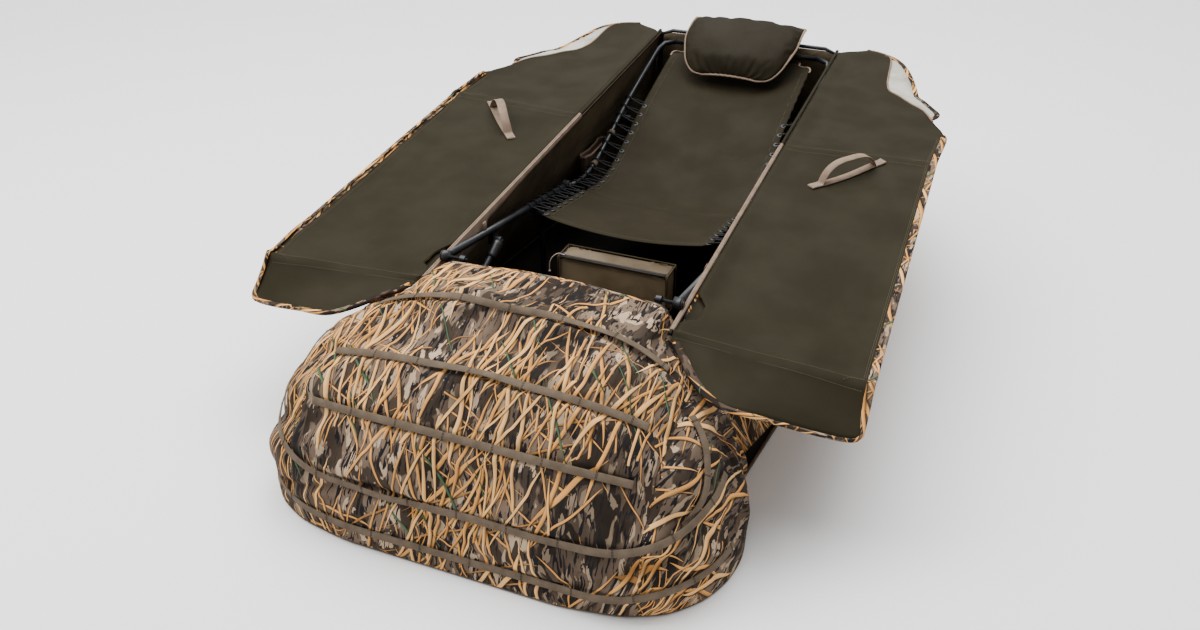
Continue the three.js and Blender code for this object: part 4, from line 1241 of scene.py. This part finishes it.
for side, s in sides:
    body = f"door_{side}"
    columns = shares(s, door["columns"] + 1)
    rows, backs = [], []
    for kind, value in doorRows:
        row, back = [], []
        for u in columns:
            x, y = doorPoint(kind, value, u)
            z = doorHeight(x, y)
            row.append(at(s * x, y, z))
            hang = 0.0175 * max(bump(y, door["rib"] + 0.003, 0.018), bump(y, door["rear"], 0.018),
                                bump(x, outerEdge(min(max(y, door["rib"]), 0.9)) - 0.010, 0.020)
                                * (1 - soft(y, door["rear"], door["rear"] + 0.05)))
            hang = max(hang, 0.011 + 0.003 * rough(x, y, 3, 9)) * soft(min(u, 1 - u), 0.0, 0.03)
            if kind == "foot":
                hang *= 1 - value
            elif value > 1.5:
                hang *= 1 - soft(value, 1.53, door["peak"])
            back.append(at(s * x, y, z - 0.0028 - hang))
        rows.append(row)
        backs.append(back)
    panel = dress(gridPiece(f"doorLining.{side}", rows, "olive", (0.3 * s, 0)), body, "olive_fabric",
                  f"door_panel_{side}", cloth=(0.0014,))
    outside = dress(gridPiece(f"doorBack.{side}", [r[::-1] for r in backs], "camo", (1.1 * s, 0.4)), body,
                    "camo_fabric", cloth=(0.0012,))

    # the camouflage binding that folds round the free edge
    edge = []
    for u in np.linspace(0.02, 1, 40):
        x, y = doorPoint("foot", 1, u)
        edge.append((x, y))
    for k in range(1, 9):
        edge.append(doorPoint("foot", 1 - k / 9, 1))
    for y in np.linspace(door["rib"], door["corner"] - 0.01, 90):
        edge.append(doorPoint("main", y, 1))
    edge = evenly([onDoor(s, x, y) for x, y in edge], 0.009)
    w = door["edge"]
    fold = [(-w, 0.0012), (-w * 0.5, 0.0022), (0, 0.0022), (0.0022, 0.0008), (0.0030, -0.002), (0.0022, -0.005),
            (0, -0.0064), (-w * 0.6, -0.0062), (-w * 0.6, -0.0050), (0, -0.0046), (0, 0.0), (-w, 0.0)]

    def outward(i, edge=edge, s=s):
        a, b = edge[max(i - 3, 0)], edge[min(i + 3, len(edge) - 1)]
        return (b - a).cross(Vector((0, 0, 1))) * s
    dress(sweep(f"doorBinding.{side}", edge, fold, "camo", outward), body, "camo_fabric")

    # tan piping on the edge beside the window, then round the peak
    line = [doorPoint("main", y, 1) for y in np.linspace(1.135, door["peak"] - 0.004, 50)]
    line = evenly([onDoor(s, x, y, 0.0004) for x, y in line], 0.006)
    dress(sweep(f"windowPiping.{side}", line, roundSection(0.0026, 8), "webbing"), body, "tan_webbing")

    # netting window and its dark border
    window = []
    for k in range(25):
        t = k / 24
        y = 1.150 + (1.560 - 1.150) * t
        x = outerEdge(y)
        reach = 0.098 * math.sin(math.pi * min(t * 1.02, 1)) ** 0.8 * (1 - 0.15 * t)
        row = []
        for v in shares(s, 13):
            px = x - 0.004 + (reach + 0.004) * v * (0.80 + 0.2 * (1 - t))
            py = y + reach * v * 0.55 * t - reach * v * 0.15 * (1 - t)
            pz = doorHeight(x - 0.004, y) - 0.0035 + 0.010 * math.sin(math.pi * v) * math.sin(math.pi * t)
            pz += 0.007 * rough(px, py, 4, 16) * math.sin(math.pi * v) - 0.012 * v * math.sin(math.pi * t)
            row.append(at(s * px, py, pz))
        window.append(row)
    net = dress(gridPiece(f"nettingWindow.{side}", window, "netting"), body, "window_mesh", f"mesh_window_{side}",
                cloth=(0.0012,))
    rim = [row[-1] if s > 0 else row[0] for row in window]
    border = sweep(f"windowBorder.{side}", evenly(smoothLine(rim, 3), 0.008), strapSection(0.016, 0.0045), "camo")
    dress(border, body, "camo_fabric")

    # hem stitches beside the binding and the sewn corners over the rods' ends
    lines = []
    lift = door["thread"]
    for inset in (0.020, 0.024):
        lines.append([onDoor(s, outerEdge(y) - inset, y, lift) for y in np.linspace(-0.07, 1.02, 110)])
    for y0 in (door["rib"] + 0.012, door["rear"] + 0.014):
        x1 = outerEdge(y0) - 0.024
        lines.append([onDoor(s, x, y0 + (x - x1) * 0.45, lift) for x in np.linspace(x1 - 0.036, x1, 10)])
    for shift in (-0.013, 0.013):
        for rib, end in (("rear", outerEdge(0.83)), ("rib", door["outer"])):
            lines.append([onDoor(s, x, door[rib] + shift, lift)
                          for x in np.linspace(door["inner"] + 0.01, end - 0.024, 60)])
    dress(grow(f"doorStitches.{side}", stitches, lines, "oliveThread", Thread=0.00045), body, "olive_fabric")

    # the handle: a strip sewn down at both ends and a loop that stands over it
    grip = {"half": 0.118, "loop": 0.084, "high": 0.050, "width": 0.025}
    centre = middle(f"door_handle_{side}")
    low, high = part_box(f"door_handle_{side}")
    hx, hy = abs(centre.x), centre.y - hubY
    way = Vector((s * 0.155, 0.178, 0)).normalized()

    def onGrip(run, lift, hx=hx, hy=hy, way=way, s=s):
        p = Vector((s * hx, hy, 0)) + way * run
        return onDoor(s, abs(p.x), p.y, lift)
    wide = Vector((way.y, -way.x, 0))
    strip = [onGrip(r, 0.0012) for r in np.linspace(-grip["half"], grip["half"], 30)]
    loop = []
    for r in np.linspace(-1, 1, 49):
        arch = (1 - abs(r) ** 2.6)
        lean = 0.006 * math.sin(r * 2.0 + 0.5)
        loop.append(onGrip(grip["loop"] * r * (1 + 0.10 * arch), 0.0034 + grip["high"] * arch) + wide * lean * arch)
    ends = [[onGrip(r, 0.0032) for r in np.linspace(a, b, 10)] for a, b in
            ((-grip["half"] + 0.001, -grip["loop"]), (grip["loop"], grip["half"] - 0.001))]
    handle = joinPieces(f"doorHandle.{side}", [
        sweep("h", run, strapSection(grip["width"], 0.0019), "webbing", lambda i: wide) for run in
        (strip, ends[0] + loop[1:-1] + ends[1])])
    dress(handle, body, "tan_webbing", f"door_handle_{side}")
    boxes = []
    for end in (-1, 1):
        a, b = end * (grip["loop"] + 0.004), end * (grip["half"] - 0.004)
        k = 0.0095
        for r0, w0, r1, w1 in ((a, -k, b, -k), (b, -k, b, k), (b, k, a, k), (a, k, a, -k), (a, -k, b, k),
                               (a, k, b, -k)):
            boxes.append([onGrip(r0 + (r1 - r0) * t, 0.0053) + wide * (w0 + (w1 - w0) * t)
                          for t in np.linspace(0, 1, 8)])
    dress(grow(f"handleStitches.{side}", stitches, boxes, "paleThread", Stitch=0.003, Gap=0.0012, Thread=0.0004),
          body, "tan_webbing")
print("doors ready")


# side walls, head wall, hinge webbing
wall = {"top": 0.311, "rows": 70, "columns": 22}


def wallFootHalf(y):
    return float(np.interp(y, [-0.025, 0.2, 0.603, 1.003, 1.57], [0.44, 0.49, 0.49, 0.45, 0.38]))


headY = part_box("head_wall")[0].y - hubY + 0.0025
for side, s in sides:
    rows = []
    for y in np.linspace(-0.030, headY, wall["rows"]):
        topZ = hingeZ(y) - 0.006
        row = []
        for v in shares(s, wall["columns"]):
            foot = wallFootHalf(y)
            x = wall["top"] + 0.004 * soft(v, 0, 0.05) + (foot - wall["top"]) * v ** 1.12
            belly = math.sin(math.pi * v) * (1 - soft(y, 1.44, headY))
            x += belly * (0.008 * rough(y, v * 0.6, s * 3, 3.2) + 0.006 * rough(y, v, s * 5, 8.0)) - 0.006 * belly
            z = topZ + (floorTop + 0.001 - topZ) * v
            row.append(at(s * x, y + 0.006 * belly * rough(y, v, 9, 4), z))
        rows.append(row)
    piece = gridPiece(f"sideWall.{side}", rows, ["camo", "wallLining"], (0.7 * s, 0.2))
    for entry in piece.data.uv_layers["cloth"].data:     # the pattern stands upright on the walls
        entry.uv = (entry.uv[1], -entry.uv[0])
    dress(piece, "base", "camo_fabric", f"side_wall_{side}", cloth=(0.0014, -1.0, 1), fine=True)

    # the flap behind the notch that clears the hub
    flap = [[at(s * (hingeX - 0.001 + 0.050 * v), y, hingeZ(y) - 0.010 + (doorSlope(0.05) * 0.050 - 0.007) * v)
             for v in shares(s, 8)] for y in np.linspace(-0.085, 0.115, 24)]
    dress(gridPiece(f"hubFlap.{side}", flap, "olive"), "base", "olive_fabric", cloth=(0.0012,))

    # webbing sewn over the hinge rod: wide at the hub, then two pipings up to the head
    for name, start, end, look, slot in (("hingeWebbing", -0.085, 0.845, "webbing", "tan_webbing"),
                                         ("hingeLap", 0.840, 1.545, "olive", "olive_fabric")):
        cover = []
        for y in np.linspace(start, end, 80):
            drop = 0.022 * (1 - soft(y, 0.20, 0.23)) + 0.008 * (1 - soft(y, 0.25, 0.50)) + 0.006
            drop += 0.014 * soft(y, 0.0, 0.06) * (1 - soft(y, 0.20, 0.23))
            x, z = hingeX, hingeZ(y) + (0.0002 if start > 0 else 0)
            row = [(x + 0.0044, z - 0.0015), (x + 0.0034, z + 0.0034), (x + 0.0004, z + 0.0047),
                   (x - 0.0032, z + 0.0035), (x - 0.0048, z), (x - 0.0049, z - 0.003 - drop * 0.5),
                   (x - 0.0049, z - 0.004 - drop)]
            if s < 0:
                row.reverse()
            cover.append([at(s * a, y, b) for a, b in row])
        dress(gridPiece(f"{name}.{side}", cover, look), "base", slot, cloth=(0.0008,))
    inner = [at(s * (hingeX - 0.0049), y, hingeZ(y) - 0.0036) for y in np.linspace(-0.085, 1.54, 160)]
    upper = [at(s * (hingeX - 0.0046), y, hingeZ(y) + 0.0032) for y in np.linspace(-0.085, 0.83, 100)]
    pipes = joinPieces(f"hingePiping.{side}", [sweep("p", line, roundSection(0.0013, 8), "webbing")
                                               for line in (inner, upper)])
    dress(pipes, "base", "tan_webbing")
    low = [at(s * (hingeX - 0.0058), y, hingeZ(y) - 0.024) for y in np.linspace(-0.07, 0.2, 40)]
    mid = [at(s * (hingeX - 0.0006), y, hingeZ(y) + 0.0055) for y in np.linspace(-0.07, 0.83, 100)]
    dress(grow(f"hingeStitches.{side}", stitches, [low, mid], "darkThread", Stitch=0.0036, Gap=0.0024,
               Thread=0.0004), "base", "tan_webbing")
    loop = [at(s * (hingeX - 0.0075), 0.196, hingeZ(0.196) - 0.016 + 0.011 * math.sin(a)) +
            Vector((s * -0.004 * math.cos(a) - s * 0.004, 0, 0)) for a in np.linspace(-1.4, 1.4, 12)]
    dress(sweep(f"hubLoop.{side}", loop, strapSection(0.016, 0.0015), "webbing", lambda i: (0, 1, 0)), "base",
          "tan_webbing")

rows = []
for v in np.linspace(0, 1, 16):
    topZ = hingeZ(1.55) - 0.012
    half = wall["top"] + 0.0055 * soft(v, 0, 0.05) + (wallFootHalf(headY) - wall["top"]) * v ** 1.12
    z = topZ + (floorTop + 0.001 - topZ) * v
    rows.append([at(half * u, headY + 0.006 * rough(half * u, v, 4, 5) * math.sin(math.pi * v), z)
                 for u in np.linspace(-1, 1, 30)])
piece = dress(gridPiece("headWall", rows, ["camo", "wallLining"]), "base", "camo_fabric", "head_wall",
              cloth=(0.0014, 1.0, 1))
print("walls ready")


# pillow: two cloths sewn round the rim, filled, bound in tan
pillow = {"top": 0.188, "foot": 0.150, "columns": 46, "rows": 34,
          "line": [(-0.186, -0.030), (-0.150, 0.004), (-0.095, 0.040), (-0.04, 0.066), (0.004, 0.080),
                   (0.040, 0.084)],
          "settle": {"spare": 0.05, "pressure": 3.0, "cap": 0.012, "frames": 18, "bending": 0.15, "stiff": 10}}
pillowLine = smoothLine([(0, y, z) for y, z in pillow["line"]], 12)
rows = {1: [], -1: []}
rim = []
pillowRun = np.linspace(0, 1, pillow["rows"] + 1)
for t in pillowRun:
    run = t * (len(pillowLine) - 1)
    k = int(min(run, len(pillowLine) - 2))
    p = pillowLine[k].lerp(pillowLine[k + 1], run - k)
    half = pillow["foot"] + (pillow["top"] - pillow["foot"]) * soft(t, 0.0, 0.55)
    half -= 0.060 * (1 - math.sqrt(max(1 - (1 - min(t / 0.24, 1)) ** 2, 0)))
    for face in (1, -1):
        row = []
        for u in np.linspace(-1, 1, pillow["columns"] + 1):
            fill = (1 - abs(u) ** 3.2) ** 0.7 * min(t / 0.16, 1) ** 0.6 * min((1 - t) / 0.10, 1) ** 0.6
            if face > 0:
                z = 0.020 * fill + 0.002 * math.sin(u * 34) * (1 - abs(u)) * bump(t, 0.08, 0.08)
            else:
                z = -0.015 * fill * (1 - 0.3 * abs(u))
            row.append(topBar + Vector((half * u, p.y, p.z - 0.006 * u * u + z)))
        rows[face].append(row)
count = pillow["columns"] + 1
points = [p for row in rows[1] for p in row]
index = {}
faces, uvs = [], [(p.x, p.y) for p in points]


def rimPoint(i, j):
    return i in (0, pillow["rows"]) or j in (0, pillow["columns"])


for i, row in enumerate(rows[-1]):
    for j, p in enumerate(row):
        if rimPoint(i, j):
            index[(i, j)] = i * count + j
        else:
            index[(i, j)] = len(points)
            points.append(p)
            uvs.append((p.x + 1.0, p.y))
for i in range(pillow["rows"]):
    for j in range(pillow["columns"]):
        faces.append((i * count + j, i * count + j + 1, (i + 1) * count + j + 1, (i + 1) * count + j))
        faces.append((index[(i, j)], index[(i + 1, j)], index[(i + 1, j + 1)], index[(i, j + 1)]))
pillowPiece = newPiece("pillowPad", points, faces, "pad", uvs)
turnOut(pillowPiece)
rimIndex = ([j for j in range(count)] + [i * count + count - 1 for i in range(1, pillow["rows"] + 1)]
            + [pillow["rows"] * count + j for j in range(count - 2, -1, -1)]
            + [i * count for i in range(pillow["rows"] - 1, 0, -1)])
settle(pillowPiece, {i: 1.0 for i in rimIndex}, pillow["settle"])
for v in pillowPiece.data.vertices:   # stays off the bar and the sling
    y = v.co.y - topBar.y
    if v.co.z < topBar.z + 0.013 and abs(y) < 0.03:
        v.co.z = topBar.z + 0.013
    under = slingHeight(min(abs(v.co.x), 0.19), min(v.co.y - hubY, slingEnd)) + 0.004
    if v.co.y < topBar.y - 0.02:
        v.co.z = max(v.co.z, under)
rimLine = [pillowPiece.data.vertices[i].co.copy() for i in rimIndex]
dress(pillowPiece, "back", "olive_fabric", "pillow", fine=True)
centreOf = sum(rimLine, Vector()) / len(rimLine)
lineUp = smoothLine(rimLine + [rimLine[0]], 2)[:-1]
binding = sweep("pillowBinding", lineUp, [(-0.005, -0.0022), (0.003, -0.0030), (0.0045, 0), (0.003, 0.0030),
                (-0.005, 0.0022)], "webbing", lambda i: lineUp[i] - centreOf, closedPath=True)
dress(binding, "back", "tan_webbing")

# storage pouch: ribbed front, ripstop top, zip with a cord pull
low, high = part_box("storage_pouch")
pouch = {"bulge": 0.004, "round": 0.010}


def pouchFace(corner, across, up, look, out, cellsA, cellsB):
    rows = []
    for v in np.linspace(0, 1, cellsB + 1):
        row = []
        for u in np.linspace(0, 1, cellsA + 1):
            swell = pouch["bulge"] * math.sin(math.pi * u) ** 0.6 * math.sin(math.pi * v) ** 0.6
            swell += 0.0015 * rough(u * 3, v * 2, 5, 2) * math.sin(math.pi * u) * math.sin(math.pi * v)
            row.append(corner + across * u + up * v + out * (swell - 0.004))
        rows.append(row)
    return gridPiece("f", rows, look)


w, d, h = high.x - low.x, high.y - low.y, high.z - low.z
x, y, z = Vector((1, 0, 0)), Vector((0, 1, 0)), Vector((0, 0, 1))
inset = Vector((0.004, 0.004, 0.004))
a = low + inset
wide, deep, tall = x * (w - 0.008), y * (d - 0.008), z * (h - 0.012)
# the ribbed faces get the lightened ribbed cloth, painted light against their shade
pouchPiece = turnOut(joinPieces("pouchBody", [pouchFace(*plan) for plan in (
    (a, wide, tall, "ribbed", -y, 40, 18), (a + deep, wide, tall, "ribbed", y, 40, 18),
    (a, deep, tall, "ribbed", -x, 12, 18), (a + wide, deep, tall, "ribbed", x, 12, 18),
    (a + tall, wide, deep, "pouchTop", z, 40, 12), (a, wide, deep, "ribbed", -z, 40, 12))]), 0.0045)
pouchPiece.data.shade_smooth()
pouchPiece.data.set_sharp_from_angle(angle=math.radians(40))
dress(pouchPiece, "base", "olive_fabric", "storage_pouch")
corners = [(low.x + 0.003, low.y + 0.003), (high.x - 0.003, low.y + 0.003),
           (high.x - 0.003, high.y - 0.003), (low.x + 0.003, high.y - 0.003)]
pipes = []
for level in (low.z + 0.003, high.z - 0.008):
    ring = [Vector((cx, cy, level)) for cx, cy in corners]
    ring = [ring[k].lerp(ring[(k + 1) % 4], t) for k in range(4) for t in np.linspace(0, 0.95, 12)]
    pipes.append(sweep("p", ring, roundSection(0.0019, 8), "binding", closedPath=True))
for cx, cy in corners:
    pipes.append(sweep("p", [Vector((cx, cy, low.z + 0.004 + (h - 0.012) * t)) for t in np.linspace(0, 1, 10)],
                       roundSection(0.0019, 8), "binding", lambda i: (1, 0, 0)))
dress(joinPieces("pouchPiping", pipes), "base", "olive_fabric")
zipY, zipZ = low.y + 0.0075, high.z - 0.0062
tape = sweep("pouchZipTape", [Vector((low.x + 0.008 + (w - 0.016) * t, zipY, zipZ)) for t in np.linspace(0, 1, 40)],
             strapSection(0.014, 0.0012), "darkThread")
dress(tape, "base", "olive_fabric")
teeth = grow("pouchZipTeeth", stitches, [[Vector((low.x + 0.010 + (w - 0.020) * t, zipY, zipZ + 0.0018))
             for t in np.linspace(0, 1, 60)]], "plastic", Stitch=0.0014, Gap=0.0011, Thread=0.0014)
dress(teeth, "base", "black_plastic")
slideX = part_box("zip_slider")[0].x + 0.007
sliderPiece = sweep("zipSliderBody", [Vector((slideX - 0.007 + 0.014 * t, zipY, zipZ + 0.0034)) for t in
                    np.linspace(0, 1, 8)], [(-0.0034, 0), (-0.0022, 0.0016), (0.0022, 0.0016), (0.0034, 0),
                    (0.0022, -0.0016), (-0.0022, -0.0016)], "ring")
dress(sliderPiece, "zip_slider", "black_plastic", "zip_slider")
pullStart = Vector((slideX - 0.004, zipY - 0.001, zipZ + 0.0058))
pullLine = smoothLine([pullStart + Vector(step) for step in (
    (0, 0, 0), (-0.004, -0.004, 0.0022), (-0.011, -0.010, 0.0008), (-0.019, -0.016, -0.007),
    (-0.024, -0.020, -0.019), (-0.025, -0.021, -0.033), (-0.025, -0.021, -0.046))], 5)
pull = sweep("zipPullCord", pullLine, roundSection(0.0011, 8), "paleThread", lambda i: (1, -0.5, 0))
dress(pull, "zip_slider", "tan_webbing")
knotPiece = ball("zipPullKnot", 0.0030, "paleThread", lambda p: pullLine[-1] + p
                 * (1 + 0.18 * math.sin(p.x * 2400) * math.cos(p.z * 1800)))
dress(knotPiece, "zip_slider", "tan_webbing")
round(runs(pullLine)[-1], 3)
[tuple(p) for p in pullLine]
print("pillow and pouch ready")

# side pockets and the webbing loops that they hang from
for side, s in sides:
    low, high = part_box(f"side_pocket_{side}")
    w, d, h = high.x - low.x, high.y - low.y, high.z - low.z
    rows = []
    for v in np.linspace(0, 1, 15):
        row = []
        for k in range(48):
            a = 2 * math.pi * k / 48
            ca, sa = math.cos(a), math.sin(a)
            px = low.x + w / 2 + (w / 2 - 0.003) * math.copysign(abs(ca) ** 0.7, ca) * (0.72 + 0.28 * v)
            py = low.y + d / 2 + (d / 2 - 0.003) * math.copysign(abs(sa) ** 0.35, sa)
            fold = 0.0022 * math.sin(6 * a + v * 3) * v
            pz = low.z + 0.002 + (h - 0.004) * v - 0.012 * v * math.sin(math.pi * (py - low.y) / d) * (ca * s > 0)
            row.append(Vector((min(max(px + fold, low.x + 0.001), high.x - 0.001), py, pz)))
        rows.append(row + [row[0]])
    pocket = gridPiece(f"sidePocket.{side}", rows, "pocket")
    turnOut(pocket, 0.0001, low.z + 0.01)
    pocket.data.shade_smooth()
    dress(pocket, "base", "inner_fabric", f"side_pocket_{side}", cloth=(0.0014,))
    top = [Vector(p) for p in rows[-1][:-1]]
    band = sweep(f"pocketBinding.{side}", top, strapSection(0.0038, 0.008), "webbing",
                 lambda i: (top[(i + 1) % 48] - top[i - 1]).cross(Vector((0, 0, 1))), closedPath=True)
    band.data.transform(Matrix.Translation((0, 0, -0.006)))
    dress(band, "base", "tan_webbing")
    loops = []
    for y in (0.912, 1.052):
        r = 0.0102
        path = [at(s * (tubeX + min(r * math.cos(a), 0.0086)), y, tubeZ(y) + r * math.sin(a))
                for a in np.linspace(math.radians(-20), math.radians(250), 26)]
        loops.append(sweep("l", path, strapSection(0.024, 0.0016), "strap", lambda i: (0, 1, 0)))
    dress(joinPieces(f"pocketLoops.{side}", loops), "back", "tan_webbing")
print("pockets ready")

# floor sheet with its bound edge
points, faces = [], []
layers = 8
for t in np.linspace(0, 1, layers + 1):
    points += [Vector((c.x * t, c.y * t, 0.0022 + 0.0006 * rough(c.x * t, c.y * t, 1, 9))) for c in closed]
n = len(closed)
for k in range(layers):
    faces += [(k * n + i, (k + 1) * n + i, (k + 1) * n + (i + 1) % n, k * n + (i + 1) % n) for i in range(n)]
# the floor takes the near-black floor cloth, painted shade for the dark inside of the cot
floorPiece = newPiece("floorClothPaintedShade", points, faces, ["floor"], [(p.x, p.y) for p in points])
turnOut(floorPiece, 0.00001, outward=False)
dress(floorPiece, "base", "inner_fabric", "floor_sheet", cloth=(0.0016,))
edge = sweep("floorBinding", [c + Vector((0, 0, 0.0004)) for c in closed], strapSection(0.008, 0.0052), "strap",
             closedPath=True)
dress(edge, "base", "inner_fabric")
print("floor ready")

# hub caps: a flat ring and a round bolt head on it
for side, s in sides:
    parts = []
    outX = 0.2995
    for r0, r1, x0, x1 in ((0.0128, 0.0128, 0.0, 0.0018), (0.0075, 0.0070, 0.0018, 0.0042)):
        section = [Vector((s * (outX + x), hub.y + r * math.cos(a), hub.z + r * math.sin(a)))
                   for x, r in ((x0, r0), (x1, r1)) for a in [2 * math.pi * i / 32 for i in range(32)]]
        facesOf = [(i, (i + 1) % 32, 32 + (i + 1) % 32, 32 + i) for i in range(32)]
        facesOf += [tuple(range(32)), tuple(range(32, 64))]
        parts.append(turnOut(newPiece("h", section, facesOf, "plastic", smooth=False)))
    cap = joinPieces(f"hubCap.{side}", parts)
    bevel = cap.modifiers.new("edge", "BEVEL")
    bevel.width = 0.0006
    bevel.segments = 2
    dress(cap, "base", "black_plastic")
print("hubs ready")
